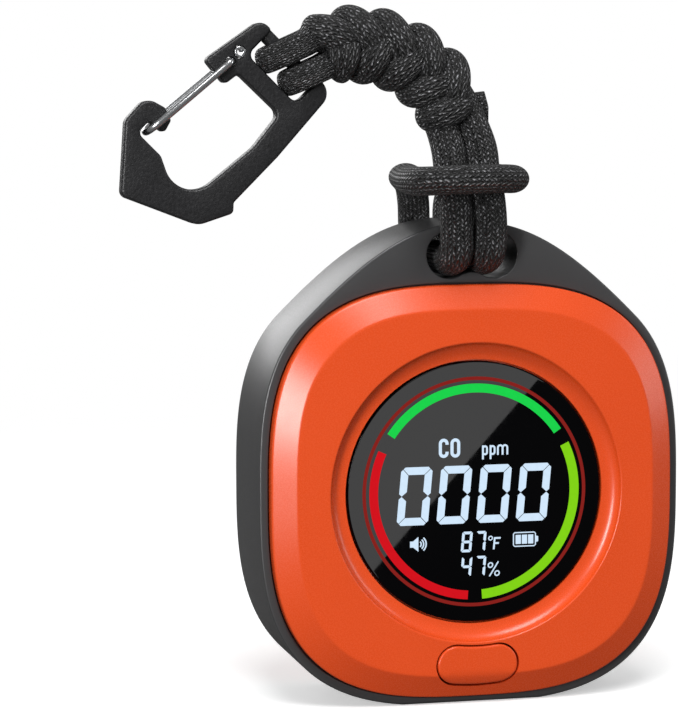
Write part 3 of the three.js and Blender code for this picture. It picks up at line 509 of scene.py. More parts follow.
def make_lanyard():
    """The hitch and the plait's two strands, each a free cord of its own."""
    hitch = smooth_path(np.add(HITCH, (0, 0, EYE_Z)), 0.4)
    level = 1 - np.clip(np.abs(hitch[:, 2] - EYE_Z - 11.8) / 1.2, 0, 1)
    pressed = level * level * (3 - 2 * level)  # the level turn is pulled flat
    section = (CORD - 0.8 * pressed, CORD + 0.3 * pressed)
    piece = tube("hitch_sleeve", hitch, *section, (0, 0, 1), 40, NYLON, "paracord", None, PICK, (0.6, 0.6))
    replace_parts(piece, "hitch_cord")
    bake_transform(piece)

    outward = (-0.407, 0, 0.914)
    outer = coil(OUTER_CROSSINGS, 1.5, 2.0, 2.4, 0.5, 4.45)
    upper_bar = np.array([-29.99, 0, 101.73])
    lead = [(6.5, 0.2, 0.6), (4, 0.8, 0.5), (1.5, 1.5, 0.2)]
    end = [(25.3, 0.8, 1.2), (25.4, 3.2, 1.9), (25.6, 5.9, 1.5)]
    path = strand(upper_bar, 5.2, lead, outer, end)
    finish = (outward, 40, NYLON, "paracord", "lanyard", PICK)
    piece = tube("plait_strand_outer", path, *bar_section(path, upper_bar), *finish, (0.6, 0.4))
    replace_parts(piece, "plait", "clip_loop_1")

    inner = coil(INNER_CROSSINGS, -1.4, -2.2, 2.4, -0.05, 4.45)
    lower_bar = np.array([-26.6, 0, 98.34])
    lead = [(9, -0.8, 0.8), (6.5, -1.2, 0.6), (4, -1.6, 0.2)]
    end = [(23.9, 1.5, 0.6), (22.4, 1.4, 1.5)]
    path = strand(lower_bar, 4.6, lead, inner, end)
    piece = tube("plait_strand_inner", path, *bar_section(path, lower_bar), *finish, (0.6, 0.6))
    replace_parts(piece, "clip_loop_2")


def bar_section(path, bar):
    """Width and thickness of a strand: round, and pressed flat where it goes round the clip's bar."""
    away = np.clip((np.linalg.norm(path - bar, axis=1) - 4) / 4, 0, 1)
    away = away * away * (3 - 2 * away)
    return 4.0 + 1.0 * away, 2.4 + 2.6 * away


make_lanyard()

# ---- Housing ----

# ABS, moulded in a finely blasted mould: even orange with a soft broad highlight
ORANGE = grained(
    "abs_orange_moulded_fine_texture", "E2501F", "DC4B1B", 0.27, 0.16, 0.006, spread=0.04
)
# Aluminium, blasted and painted: dark grey, with a metallic satin sheen round the side
GRAPHITE = grained(
    "aluminium_blasted_graphite_paint", "565657", "4C4C4D", 0.36, 0.12, 0.012, metallic=0.5
)
# Steel, powder coated: black with a fine pebbled grain that sparkles slightly
POWDER = grained(
    "steel_black_powder_coat", "242426", "0D0D0E", 0.4, 0.45, 0.2, tone_mm=0.5
)
# Steel, pressed and tin plated: bright and slightly clouded
STEEL = grained("steel_tin_plated_pressed", "C6C9CC", "B4B7BA", 0.26, 0.4, 0.008, 1.0, 0.06)
# Steel, black oxide: near black with a dull metallic gleam
BLACK_OXIDE = grained("steel_black_oxide", "343436", "28282A", 0.34, 0.3, 0.01, 0.9)
# Epoxy, moulded: black with little gleam
BLACK_PART = grained("epoxy_black_moulded", "1A1A1C", "121214", 0.42, 0.15, 0.015)
# Stainless spring wire, drawn and polished: bright, with long highlights
WIRE = grained(
    "stainless_spring_wire_polished", "D6D8DA", "C4C6C8", 0.2, 4.0, 0.00002, metallic=1.0, spread=0.02
)


def rounded_profile(corners, steps=5, support=0.07):
    """A closed line through [size, depth, radius, exponent] corners, each rounded by its radius.

    A point just outside each end of an arc keeps the shading of the flats beside it even.
    """
    points = np.asarray(corners, float)
    line = []
    for i, (size, depth, radius, power) in enumerate(points):
        here = np.array([size, depth])
        if radius == 0:
            line.append((size, depth, power))
            continue
        back = unit(points[i - 1, :2] - here)
        ahead = unit(points[(i + 1) % len(points), :2] - here)
        half = math.acos(float(np.clip(back @ ahead, -1, 1))) / 2
        reach = radius / math.tan(half)
        centre = here + unit(back + ahead) * radius / math.sin(half)
        first, last = here + back * reach - centre, here + ahead * reach - centre
        turn = np.linspace(0, 1, steps)[:, None]
        arc = unit(first * (1 - turn) + last * turn) * radius + centre
        arc = np.vstack([here + back * (reach + support), arc, here + ahead * (reach + support)])
        line += [(a, b, power) for a, b in arc]
    return np.array(line)


def squared_shell(name, line, body, material, count=288, centre=(0, CENTRE_Z), place=None):
    """A closed surface: each [size, depth, n] point becomes a loop x^n + z^n = size^n about a centre."""
    angle = 2 * np.pi * (np.arange(count) + 0.5) / count
    c, s = np.cos(angle), np.sin(angle)
    size, depth, power = line.T[:, :, None]
    radius = size / (np.abs(c) ** power + np.abs(s) ** power) ** (1 / power)
    loops = np.broadcast_arrays(centre[0] + radius * c, depth, centre[1] + radius * s)
    points = np.stack(loops, -1).reshape(-1, 3)
    faces = grid_faces(len(line), count, closed_rows=True)
    return make_piece(name, place(points) if place else points, faces, body, material)


def prism_mesh(outlines, front, back):
    """Points and faces of flat-ended bars, one for each outline of (x, z) points."""
    points, faces, start = [], [], 0
    for outline in outlines:
        outline = np.asarray(outline, float)
        n = len(outline)
        for depth in (front, back):
            points.append(np.insert(outline, 1, depth, axis=1))
        k = np.arange(n)
        sides = np.stack([k, (k + 1) % n, (k + 1) % n + n, k + n], -1) + start
        faces += sides.tolist() + [(k[::-1] + start).tolist(), (k + n + start).tolist()]
        start += 2 * n
    return np.vstack(points), faces


def cut_away(piece, outlines, front, back):
    """Cuts bars of these outlines out of a piece."""
    points, faces = prism_mesh(outlines, front, back)
    cutter = make_piece("cutter", points, faces, None, piece.data.materials[0])
    step = piece.modifiers.new("cut", "BOOLEAN")
    step.operation, step.solver, step.object = "DIFFERENCE", "EXACT", cutter
    bpy.context.view_layer.update()
    made = bpy.data.meshes.new_from_object(piece.evaluated_get(bpy.context.evaluated_depsgraph_get()))
    piece.modifiers.clear()
    piece.data = made
    bpy.data.objects.remove(cutter)
    return piece


def arc_points(centre, radius, start, end, count):
    """Points on an arc, angles in degrees counter-clockwise from +X."""
    angle = np.radians(np.linspace(start, end, count))
    return np.stack([centre[0] + radius * np.cos(angle), centre[1] + radius * np.sin(angle)], -1)


def bent_slot(middle, width, length):
    """The outline of a slot bent round the centre, with round ends."""
    end = width / 2
    sweep = math.degrees(math.asin((length / 2 - end) / middle))
    centre = (0, CENTRE_Z)
    at = [arc_points(centre, middle, a, a, 1)[0] for a in (-90 - sweep, -90 + sweep)]
    return np.vstack([
        arc_points(centre, middle + end, -90 - sweep, -90 + sweep, 40)[1:-1],
        arc_points(at[1], end, -90 + sweep, 90 + sweep, 24),
        arc_points(centre, middle - end, -90 + sweep, -90 - sweep, 40)[1:-1],
        arc_points(at[0], end, 90 - sweep, 270 - sweep, 24),
    ])


def pill(x, z, width, height):
    """The outline of a straight slot with round ends."""
    reach = (width - height) / 2
    return np.vstack([
        arc_points((x + reach, z), height / 2, -90, 90, 24),
        arc_points((x - reach, z), height / 2, 90, 270, 24),
    ])


def loop_area(loop):
    """Signed area inside a closed loop of points, positive when it runs counter-clockwise."""
    x, z = np.asarray(loop, float).T
    return (x * np.roll(z, -1) - z * np.roll(x, -1)).sum() / 2


def drawn_in(loop):
    """For each point of a loop, the step to its left that moves both its edges in by one."""
    ahead = unit(np.roll(loop, -1, axis=0) - loop)
    left = np.stack([-ahead[:, 1], ahead[:, 0]], -1)
    before = np.roll(left, 1, axis=0)
    return (left + before) / np.maximum(1 + (left * before).sum(-1, keepdims=True), 0.5)


def inside(points, loops):
    """Whether each point lies inside an odd number of the loops."""
    crossed = np.zeros(len(points), bool)
    for loop in loops:
        (x1, z1), (x2, z2) = loop.T, np.roll(loop, -1, axis=0).T
        x, z = points[:, :1], points[:, 1:]
        spans = (z1 > z) != (z2 > z)
        rise = np.where(z2 == z1, 1, z2 - z1)
        crossed ^= (spans & (x < x1 + (z - z1) * (x2 - x1) / rise)).sum(1) % 2 == 1
    return crossed


def fill(loops):
    """Triangles of the flat area between loops, by corners counted through all the loops."""
    starts = np.cumsum([0, *map(len, loops)])
    spans = [np.arange(a, b) for a, b in zip(starts, starts[1:])]
    rims = [np.stack([ids, np.roll(ids, -1)], -1) for ids in spans]
    corners = np.vstack(loops)
    flat = delaunay_2d_cdt(corners.tolist(), np.vstack(rims).tolist(), [], 0, 1e-6)
    own = np.array([ids[0] for ids in flat[3]])
    triangles = own[np.array(flat[2])]
    a, b, c = corners[triangles].transpose(1, 0, 2)
    turned = (b - a)[:, 0] * (c - a)[:, 1] < (b - a)[:, 1] * (c - a)[:, 0]
    triangles[turned] = triangles[turned][:, ::-1]
    return triangles[inside((a + b + c) / 3, loops)]


def plate(name, outlines, edges, front, back, body, material, slot, place=None):
    """A flat plate with round edges, from its outline and its holes' outlines of (x, z) points.

    At angle t of its edge, a loop is drawn in by edge (1 - cos t) and lies edge (1 - sin t) from the face.
    """
    turn = np.radians(np.linspace(90, 0, 5))
    loops = [np.asarray(outline, float) for outline in outlines]
    loops = [loop if (loop_area(loop) > 0) == (i == 0) else loop[::-1] for i, loop in enumerate(loops)]
    points, faces, near, start = [], [], [], 0
    for loop, edge in zip(loops, edges):
        n = len(loop)
        insets, falls = edge * (1 - np.cos(turn)), edge * (1 - np.sin(turn))
        insets, depths = np.append(insets, insets[::-1]), np.append(front + falls, back - falls[::-1])
        rings = loop + insets[:, None, None] * drawn_in(loop)
        points.append(np.insert(rings.reshape(-1, 2), 1, np.repeat(depths, n), axis=1))
        faces += (grid_faces(len(depths), n)[:, ::-1] + start).tolist()
        near.append(np.arange(n) + start)
        start += n * len(depths)
    points = np.vstack(points)
    triangles = fill([points[ids][:, ::2] for ids in near])
    far = np.concatenate([ids + len(ids) * (len(depths) - 1) for ids in near])
    faces += np.concatenate(near)[triangles].tolist() + far[triangles[:, ::-1]].tolist()
    return make_piece(name, place(points) if place else points, faces, body, material)


def square_outline(half, start=0, end=360, count=360):
    """Points on the rounded square x^n + z^n = half^n about the centre."""
    angle = np.radians(np.linspace(start, end, count, endpoint=False))
    c, s = np.cos(angle), np.sin(angle)
    radius = half / (np.abs(c) ** SQUARE + np.abs(s) ** SQUARE) ** (1 / SQUARE)
    return np.stack([radius * c, CENTRE_Z + radius * s], -1)


def bezier(a, b, c, d, count):
    """Points on a cubic Bezier curve, without its last point."""
    t = np.linspace(0, 1, count, endpoint=False)[:, None]
    a, b, c, d = (np.asarray(p, float) for p in (a, b, c, d))
    return (1 - t) ** 3 * a + 3 * (1 - t) ** 2 * t * b + 3 * (1 - t) * t**2 * c + t**3 * d


def frame_outline():
    """The rounded square with a pointed arch on top and a flat base."""
    diagonal = BODY_HALF / 2 ** (1 / SQUARE)
    handle = LUG_FLANK * math.sqrt(0.5)
    flat = BODY_HALF * (1 - ((BODY_HALF - BASE_CUT) / BODY_HALF) ** SQUARE) ** (1 / SQUARE)
    side = square_outline(BODY_HALF, -90, 45, 240)
    side = side[(side[:, 0] > flat) & (side[:, 1] > 0)]
    right = np.vstack([
        [(flat, 0)],
        side,
        bezier(
            (diagonal, CENTRE_Z + diagonal),
            (diagonal - handle, CENTRE_Z + diagonal + handle),
            (LUG_TIP, BODY_HEIGHT),
            (0, BODY_HEIGHT),
            70,
        ),
    ])
    left = right[::-1] * (-1, 1)
    return np.vstack([right, [(0, BODY_HEIGHT)], left])


def eye_outline():
    """Two round lobes with a low bump between them."""
    lobe, reach, low = 3.7, 3.6, EYE_Z - 3.7
    return np.vstack([
        arc_points((reach, EYE_Z), lobe, -90, 90, 32),
        arc_points((-reach, EYE_Z), lobe, 90, 270, 32),
        bezier((-reach, low), (-reach / 2, low), (-reach / 2, low + 1), (0, low + 1), 12)[1:],
        bezier((0, low + 1), (reach / 2, low + 1), (reach / 2, low), (reach, low), 12),
    ])


FACE_HALF = 28.7  # half width of the front cover's flat face
SEAT = 20.8  # radius of the recess for the glass


def skin_depth(x, z):
    """Depth of the front cover's outside: flat in the middle, falling off along the chamfer."""
    across = (np.abs(x) ** SQUARE + np.abs(z - CENTRE_Z) ** SQUARE) ** (1 / SQUARE) - FACE_HALF
    eased = (across + np.sqrt(across**2 + 0.09)) / 2
    return -3.4 + eased * 1.95 / 3.7


def make_front_cover():
    """The front cover: an upright edge, a broad chamfer, a flat face and a bowl down to the glass."""
    sweep = np.radians(np.linspace(12, 90, 8))
    cove = [(SEAT + 2.65 * math.cos(a), -3.4 + 1.76 * math.sin(a), 0, 2) for a in sweep]
    line = rounded_profile([
        (COVER_HALF, 1.2, 0, 3),
        (COVER_HALF, -1.45, 0.45, 3),
        (FACE_HALF, -3.4, 0.9, 3),
        (23.45, -3.4, 0.3, 2),
        *cove,
        (SEAT, -0.1, 0, 2),
        (18.6, -0.1, 0, 2),
        (18.6, 1.1, 0, 2),
        (24, 1.1, 0, 2),
        (24, -1.6, 0, 2),
        (26.9, -1.6, 0, 3),
        (30.6, 0.35, 0, 3),
        (30.6, 1.2, 0, 3),
    ])
    cover = squared_shell("front_shell", line, None, ORANGE)
    cut_away(cover, [bent_slot(27.25, 6.7, 13.5)], -4, 3)
    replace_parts(dress(cover, "housing", ORANGE), "front_cover")


def make_button():
    """The test button: its face follows the front cover's, 0.15 mm proud, with a rounded edge."""
    edge = 0.3
    turn = np.radians(np.linspace(0, 90, 5))
    insets = [0, *(edge * (1 - np.cos(turn))), 0.5, 1.1, 1.8, 2.5, 2.95]
    drops = [2.2, *(edge * (1 - np.sin(turn))), 0, 0, 0, 0, 0]
    rings = []
    for inset, drop in zip(insets, drops):
        outline = bent_slot(27.25, 6.1 - 2 * inset, 12.9 - 2 * inset)
        depth = skin_depth(*outline.T) - 0.15 + drop
        rings.append(np.insert(outline, 1, depth, axis=1))
    rings[0][:, 1] = -0.4
    n = len(rings[0])
    faces = grid_faces(len(rings), n).tolist()
    faces += [list(range(n))[::-1], [(len(rings) - 1) * n + k for k in range(n)]]
    piece = make_piece("test_button_cap", np.vstack(rings), faces, "button", ORANGE)
    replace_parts(piece, "test_button")


make_front_cover()
make_button()
frame_plate = plate(
    "housing_frame",
    [frame_outline(), square_outline(COVER_HALF + GAP), eye_outline()],
    [0.35, 0.1, 0.18],
    0,
    FRAME_DEPTH,
    "housing",
    GRAPHITE,
    "graphite_frame",
)
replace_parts(frame_plate, "mid_frame")
# a ledge inside the frame, behind both covers' edges
ledge = np.array([(33, 1.5, 3), (33, 17.7, 3), (31, 17.7, 3), (31, 1.5, 3)])
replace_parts(squared_shell("housing_ledge", ledge, "housing", GRAPHITE), "mid_frame")

# ---- Rear ----


def spoke(inner, outer, degrees, width):
    """A slot that runs outwards from a circle, round at its inner end. Angles as seen from behind."""
    angle = math.radians(180 - degrees)
    way = np.array([math.cos(angle), math.sin(angle)])
    side = np.array([-math.sin(angle), math.cos(angle)])
    turn = np.linspace(0, np.pi, 9)
    r = np.concatenate([inner + width / 2 * (1 - np.sin(turn)), [outer, outer]])
    w = np.concatenate([-np.cos(turn), [1, -1]]) * width / 2
    return way * r[:, None] + side * w[:, None] + (0, CENTRE_Z)


def slots(inner, half, degrees, width):
    """Slots from a circle out to the rounded square of the given half width."""
    angle = np.radians(np.asarray(degrees))
    reach = half / (np.abs(np.cos(angle)) ** SQUARE + np.abs(np.sin(angle)) ** SQUARE) ** (1 / SQUARE)
    return [spoke(inner, outer, a, width) for a, outer in zip(degrees, reach)]


def screw_centre(degrees):
    """The middle of a rear screw."""
    return arc_points((0, CENTRE_Z), SCREW_CIRCLE, 180 - degrees, 180 - degrees, 1)[0]


def make_rear_cover():
    """The rear cover: a chamfer, a flat back, a round boss over the magnet, vents and recesses."""
    line = rounded_profile([
        (COVER_HALF, 18, 0, 3),
        (COVER_HALF, 19.4, 0.15, 3),
        (29.8, 20.8, 0.8, 3),
        (16.4, 20.8, 0.6, 2),
        (13.9, 22, 0.6, 2),
        (0.02, 22, 0, 2),
        (0.02, 20.4, 0, 2),
        (12.5, 20.4, 0, 2),
        (12.5, 18, 0, 2),
        (14.4, 18, 0, 2),
        (14.4, 19, 0, 2),
        (28, 19, 0, 3),
        (30.6, 18, 0, 3),
    ])
    cover = squared_shell("rear_shell", line, None, ORANGE)
    angles = [*range(-24, 79, 6), *range(102, 199, 6), 222, 228, 246, *range(-66, -41, 6)]
    cut_away(cover, slots(VENT_START, 36, angles, VENT_WIDTH), 18.25, 24)  # grooves to the edge
    cut_away(cover, slots(VENT_START, 30.5, angles, VENT_WIDTH), 17, 18.6)  # and through the wall
    recesses = [arc_points(screw_centre(a), 2.0, 0, 345, 24) for a in SCREW_ANGLES]
    cut_away(cover, recesses, 18.6, 24)
    cut_away(cover, [pill(0, PORT_Z, 13.5, 8.1)], 19.5, 24)
    cut_away(cover, [pill(0, PORT_Z, 9.54, 3.86)], 15, 20.5)
    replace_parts(dress(cover, "housing", ORANGE), "rear_cover")


def make_rear_details():
    """Three pan-head screws with a cross recess, and the charging port's shell with its tongue."""
    wide, long = 0.26, 1.02
    cross = [(-wide, -long), (wide, -long), (wide, -wide), (long, -wide), (long, wide), (wide, wide)]
    cross = np.vstack([cross, np.negative(cross)])
    corners = [(1.7, 18.6, 0, 2), (1.7, 19.7, 0.4, 2), (0.01, 19.75, 0, 2), (0.01, 18.6, 0, 2)]
    head = rounded_profile(corners)
    for i, degrees in enumerate(SCREW_ANGLES, start=1):
        centre = screw_centre(degrees)
        piece = squared_shell(f"cover_screw_{i}", head, None, BLACK_OXIDE, 48, centre)
        cut_away(piece, [cross + centre], 19.2, 21)
        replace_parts(dress(piece, "housing", BLACK_OXIDE), f"rear_screw_{i}")
    outlines = [pill(0, PORT_Z, 8.94, 3.26), pill(0, PORT_Z, 8.34, 2.66)]
    shell = plate("port_shell", outlines, [0.08, 0.08], 13.1, 19.5, "housing", STEEL, "steel")
    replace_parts(shell, "charge_port")
    tongue = np.array([(-3.35, 6.45), (3.35, 6.45), (3.35, 7.15), (-3.35, 7.15)])
    finish = ("housing", BLACK_PART, "black_part")
    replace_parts(plate("port_tongue", [tongue], [0.06], 13.4, 19.2, *finish), "charge_port")
    outline = pill(0, PORT_Z, 8.9, 3.2)
    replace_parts(plate("port_back", [outline], [0.05], 13.15, 14.2, *finish), "charge_port")


make_rear_cover()
make_rear_details()

# ---- Display ----


def glowing(name, colour, strength):
    """Backlit printed film: an even glow of its own colour, with the film's faint unevenness."""
    shader = {"Emission_Strength": strength, "Specular_IOR_Level": 0.1}
    material, tree, surface = new_material(name, "101010", 0.3, **shader)
    place = add_node(tree, "TexCoord", {}).outputs["Object"]
    cells = add_node(tree, "TexNoise", {"Vector": place, "Scale": 1800.0})
    shade = add_node(tree, "MapRange", {"Value": cells.outputs["Fac"], "To Min": 0.94, "To Max": 1.06})
    scaled = {"operation": "SCALE", 0: linear(colour)[:3], "Scale": shade.outputs[0]}
    tint = add_node(tree, "VectorMath", scaled)
    tree.links.new(tint.outputs[0], surface.inputs["Emission Color"])
    return material


# Tempered glass, printed black behind: deep black with one sharp slanting sheen
GLASS = grained(
    "glass_tempered_black_printed",
    "040405", "020203", 0.03, 1.5, 0.0001, 0.0, 0.015, Specular_IOR_Level=0.1
)


def slanted(outline, centre, scale=(1, 1), lean=0.092):
    """An outline leant to the right and moved to its centre on the display."""
    x, z = np.asarray(outline, float).T * np.reshape(scale, (2, 1))
    return np.stack([x + lean * z + centre[0], z + centre[1] + CENTRE_Z], -1)


def seven_segments(lit, width, height, thick, gap):
    """Outlines of a seven-segment digit's lit bars: A on top, clockwise to F, then G in the middle."""
    w, h, t, g = width / 2, height / 2, thick, gap
    c = 0.5 * t
    top = [(-w + c + g, h), (w - c - g, h), (w - c / 2 - g, h - c / 2)]
    top += [(w - t - g, h - t), (g + t - w, h - t), (g + c / 2 - w, h - c / 2)]
    side = [(w - c / 2, h - c / 2 - g), (w, h - c - g), (w, t * 0.35)]
    side += [(w - t * 0.35, g / 2), (w - t, t * 0.6), (w - t, h - t - g)]
    middle = [(-w + t * 0.5, 0), (-w + t, t / 2), (w - t, t / 2)]
    middle += [(w - t * 0.5, 0), (w - t, -t / 2), (-w + t, -t / 2)]
    flip = {
        "A": (top, 1, 1),
        "B": (side, 1, 1),
        "C": (side, 1, -1),
        "D": (top, 1, -1),
        "E": (side, -1, -1),
        "F": (side, -1, 1),
        "G": (middle, 1, 1),
    }
    return [np.array(flip[k][0]) * flip[k][1:] for k in lit]


def stroke(points, width):
    """The outline of a line of one width: the line moved half the width to each side."""
    p = np.asarray(points, float)
    ahead = np.gradient(p, axis=0)
    side = unit(np.stack([-ahead[:, 1], ahead[:, 0]], -1)) * width / 2
    return np.vstack([p + side, (p - side)[::-1]])


def upright(points, centre):
    """An outline moved to its centre on the display without a lean."""
    return slanted(points, centre, lean=0)


def readout_outlines():
    """Every lit mark: four large zeros, two small rows, the units, a speaker and a battery."""
    marks = []
    for x in (-9.74, -3.33, 3.11, 9.56):
        marks += [slanted(bar, (x, -0.37)) for bar in seven_segments("ABCDEF", 5.05, 9.13, 1.2, 0.07)]
    small = (("ABCDEFG", -1.32, -7.86), ("ABC", 0.92, -7.86), ("BCFG", -1.38, -11.78), ("ABC", 0.88, -11.78))
    for lit, x, z in small:
        marks += [slanted(bar, (x, z)) for bar in seven_segments(lit, 1.7, 3.25, 0.42, 0.04)]

    # the degree ring, the F and the percent sign
    marks.append(slanted(stroke(arc_points((0, 0), 0.3, 0, 360, 20), 0.17), (2.55, -7.42)))
    for line in (
        [(-0.35, -0.95), (-0.35, 0.95)],
        [(-0.35, 0.82), (0.62, 0.82)],
        [(-0.35, 0.02), (0.4, 0.02)],
    ):
        marks.append(slanted(stroke(line, 0.28), (3.5, -8.25)))
    percent = (3.1, -12.3)
    for centre in ((-0.62, 0.62), (0.58, -0.7)):
        marks.append(slanted(stroke(arc_points(centre, 0.36, 0, 360, 24), 0.2), percent))
    marks.append(slanted(stroke([(-0.62, -1.15), (0.62, 1.15)], 0.22), percent))

    # CO and ppm
    oval = np.vstack([arc_points((0, 0.72), 0.54, 0, 180, 14), arc_points((0, -0.72), 0.54, 180, 360, 14)])
    open_oval = np.vstack([[(0.54, 0.55)], oval, [(0.54, -0.55)]])
    marks.append(upright(stroke(open_oval, 0.5), (-5.06, 7.0)))
    marks.append(upright(stroke(np.vstack([oval, oval[:1]]), 0.5), (-3.18, 7.0)))
    bowl = np.vstack([arc_points((0, 0.3), 0.33, 180, 0, 10), arc_points((0, -0.3), 0.33, 0, -180, 10)])
    for x in (1.62, 2.86):
        marks.append(upright(stroke(np.vstack([bowl, bowl[:1]]), 0.3), (x, 6.48)))
        marks.append(upright(stroke([(-0.33, 0.78), (-0.33, -1.42)], 0.3), (x, 6.48)))
    for x in (4.1, 4.88):
        arch = np.vstack([[(-0.38, -0.78)], arc_points((0, 0.34), 0.38, 180, 0, 10), [(0.38, -0.78)]])
        marks.append(upright(stroke(arch, 0.29), (x, 6.48)))

    # the speaker and its three waves
    speaker = [(-10.5, -8.4), (-10.0, -8.4), (-9.15, -9.1), (-9.15, -6.75), (-10.0, -7.45), (-10.5, -7.45)]
    marks.append(upright(speaker, (0, 0)))
    for r in (0.55, 0.95, 1.35):
        marks.append(upright(stroke(arc_points((-9.25, -7.92), r, -48, 48, 16), 0.22), (0, 0)))

    # the battery, its tip and its three cells
    battery = (8.1, -7.8)
    case = [(-1.8, -0.9), (-1.6, -1.08), (1.6, -1.08), (1.8, -0.9), (1.8, 0.9), (1.6, 1.08)]
    case += [(-1.6, 1.08), (-1.8, 0.9), (-1.8, -0.9)]
    marks.append(upright(stroke(case, 0.18), battery))
    marks.append(upright([(1.9, -0.5), (2.25, -0.4), (2.25, 0.4), (1.9, 0.5)], battery))
    for x in (-1.45, -0.43, 0.59):
        cell = [(x, -0.72), (x + 0.86, -0.72), (x + 0.86, 0.72), (x, 0.72)]
        marks.append(upright(cell, battery))
    return marks


def ring_band(inner, outer, start, end, count=90):
    """The outline of a part of a ring about the display's centre."""
    centre = (0, CENTRE_Z)
    edges = [arc_points(centre, outer, start, end, count), arc_points(centre, inner, end, start, count)]
    return np.vstack(edges)


def make_display():
    """The glass, the coloured level ring and the readout, a hair in front of the glass's black print."""
    turn = np.radians(np.linspace(0, 90, 5))
    rim = [(LENS - 0.25 + 0.25 * math.cos(a), GLASS_FRONT + 0.25 - 0.25 * math.sin(a), 2) for a in turn]
    face = [(LENS - 0.35, GLASS_FRONT, 2), (0.02, GLASS_FRONT, 2)]
    line = np.array([(0.02, -0.4, 2), (LENS, -0.4, 2), *rim, *face])
    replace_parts(squared_shell("display_glass", line, "housing", GLASS, 180), "display_lens")
    lit = {
        "level_arc_green": ([ring_band(15.6, 17.0, 34.3, 146)], "10DC4C", 0.9),
        "level_arc_lime": ([ring_band(15.5, 17.0, -86, 26)], "86DC08", 0.9),
        "level_arc_red": ([ring_band(15.6, 17.0, 156, 266)], "DC0014", 0.9),
        # a thin red ring round the arcs, drawn as a band that glows with its own light
        "thin_red_ring": ([ring_band(17.55, 18.1, 0, 360, 180)], "A82018", 0.6),
        "readout": (readout_outlines(), "D2E8FC", 1.0),
    }
    for name, (outlines, colour, strength) in lit.items():
        points, faces = prism_mesh(outlines, GLASS_FRONT - 0.02, GLASS_FRONT + 0.03)
        make_piece(name, points, faces, "housing", glowing("lit_" + name, colour, strength))


make_display()

# ---- Clip ----

CLIP_OUTLINE = [
    (-14.6, 8.6, 0.6),
    (-15.5, 11.8, 2.2),
    (-20.2, 11.6, 1.4),
    (-28.8, 4.1, 1.2),
    (-23.7, -7.4, 3),
    (-18.6, -10, 0.8),
    (-17.4, -8.9, 0.6),
    (-7.8, -8.9, 4),
    (5.2, -8.1, 2.4),
    (5.25, -5.2, 0.5),
    (0, -5.2, 1.2),
    (0, 5.2, 1.2),
    (5.28, 5.2, 0.5),
    (5.3, 7.5, 1.8),
    (-5.2, 9.4, 0.7),
    (-5.7, 4.6, 0.7),
    (-3.1, 4.2, 0.7),
    (-2.9, -4.5, 1.4),
    (-9.4, -5.2, 6),
    (-23.9, -3.6, 4.3),
    (-20.2, 4, 1.5),
    (-20.2, 8.9, 0.9),
    (-17.8, 8.9, 0.6),
    (-17.5, 6, 0.6),
    (-15.3, 6.6, 0.6),
]


def rounded_outline(corners, spacing=0.25):
    """A closed outline through (x, z, radius) corners, each rounded by an arc."""
    points = np.array([c[:2] for c in corners], float)
    line = []
    for i, (x, z, radius) in enumerate(corners):
        here = points[i]
        back, ahead = unit(points[i - 1] - here), unit(points[(i + 1) % len(points)] - here)
        half = math.acos(float(np.clip(back @ ahead, -1, 1))) / 2
        centre = here + unit(back + ahead) * radius / math.sin(half)
        reach = radius / math.tan(half)
        first, last = here + back * reach - centre, here + ahead * reach - centre
        count = max(4, round(radius * (math.pi - 2 * half) / spacing))
        turn = np.linspace(0, 1, count)[:, None]
        line.append(unit(first * (1 - turn) + last * turn) * radius + centre)
    return np.vstack(line)


def on_clip(points):
    """Points in the clip's own frame, along it and across it, as points in the housing's frame."""
    x, y, z = np.asarray(points, float).T
    root = math.sqrt(0.5)
    return np.stack([(x - z) * root - 31.9, y, (x + z) * root + EYE_Z + 27.1], -1)


def make_clip():
    """The clip's plate, the bar that carries the cord, the wire gate and its hollow rivet."""
    holes = [arc_points((-2.6, 6.4), 0.75, 0, 345, 24), arc_points((-0.6, 6.4), 1.0, 0, 345, 24)]
    outline = rounded_outline(CLIP_OUTLINE)
    edges = [0.42, 0.08, 0.08]
    piece = plate("clip_plate", [outline, *holes], edges, -1.5, 1.5, "clip", POWDER, "powder_black", on_clip)
    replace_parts(piece, "clip_frame")

    bar = on_clip([(4.2, 0, z) for z in np.linspace(-5.6, 5.6, 12)])
    piece = tube("clip_bar", bar, 2.2, 2.2, (0, 1, 0), 32, POWDER, "powder_black", "clip", 1.0)
    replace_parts(piece, "clip_frame")

    rim = [(0.45, -1.65, 0.12, 2), (0.87, -1.65, 0.14, 2), (0.87, 1.65, 0.14, 2), (0.45, 1.65, 0.12, 2)]
    line = rounded_profile(rim, support=0.02)
    piece = squared_shell("gate_rivet_ring", line, "clip", WIRE, 48, (-0.6, 6.4), on_clip)
    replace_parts(piece, "gate_rivet")

    px, pz = -2.6, 6.4  # the pivot
    ex, ez = -18.95, 8.0  # the wire's free end, in the nose
    side, stub, bend = 2.35, 1.95, 1.2  # half the wire's spread, its feet and its bends
    slope = (pz - ez) / (px - ex)
    route = [(px, stub - side, pz), (px, bend / 2 - side, pz)]
    route += [(px - bend / 4, -side, 0), (px - bend, -side, 0)]
    route += [(ex + bend, -side, 0), (ex, bend - side, ez)]
    route = np.array(route + [(x, -y, z) for x, y, z in route[::-1]])
    on_line = route[:, 2] == 0
    route[on_line, 2] = pz + slope * (route[on_line, 0] - px)
    path = smooth_path(route, 0.2)
    piece = tube("gate_wire", on_clip(path), 1.1, 1.1, (0, 1, 0), 24, WIRE, "polished_wire", "gate", 1.0)
    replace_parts(piece, "wire_gate")


make_clip()

# ---- Inner parts: finishes of the solid model's own nodes ----

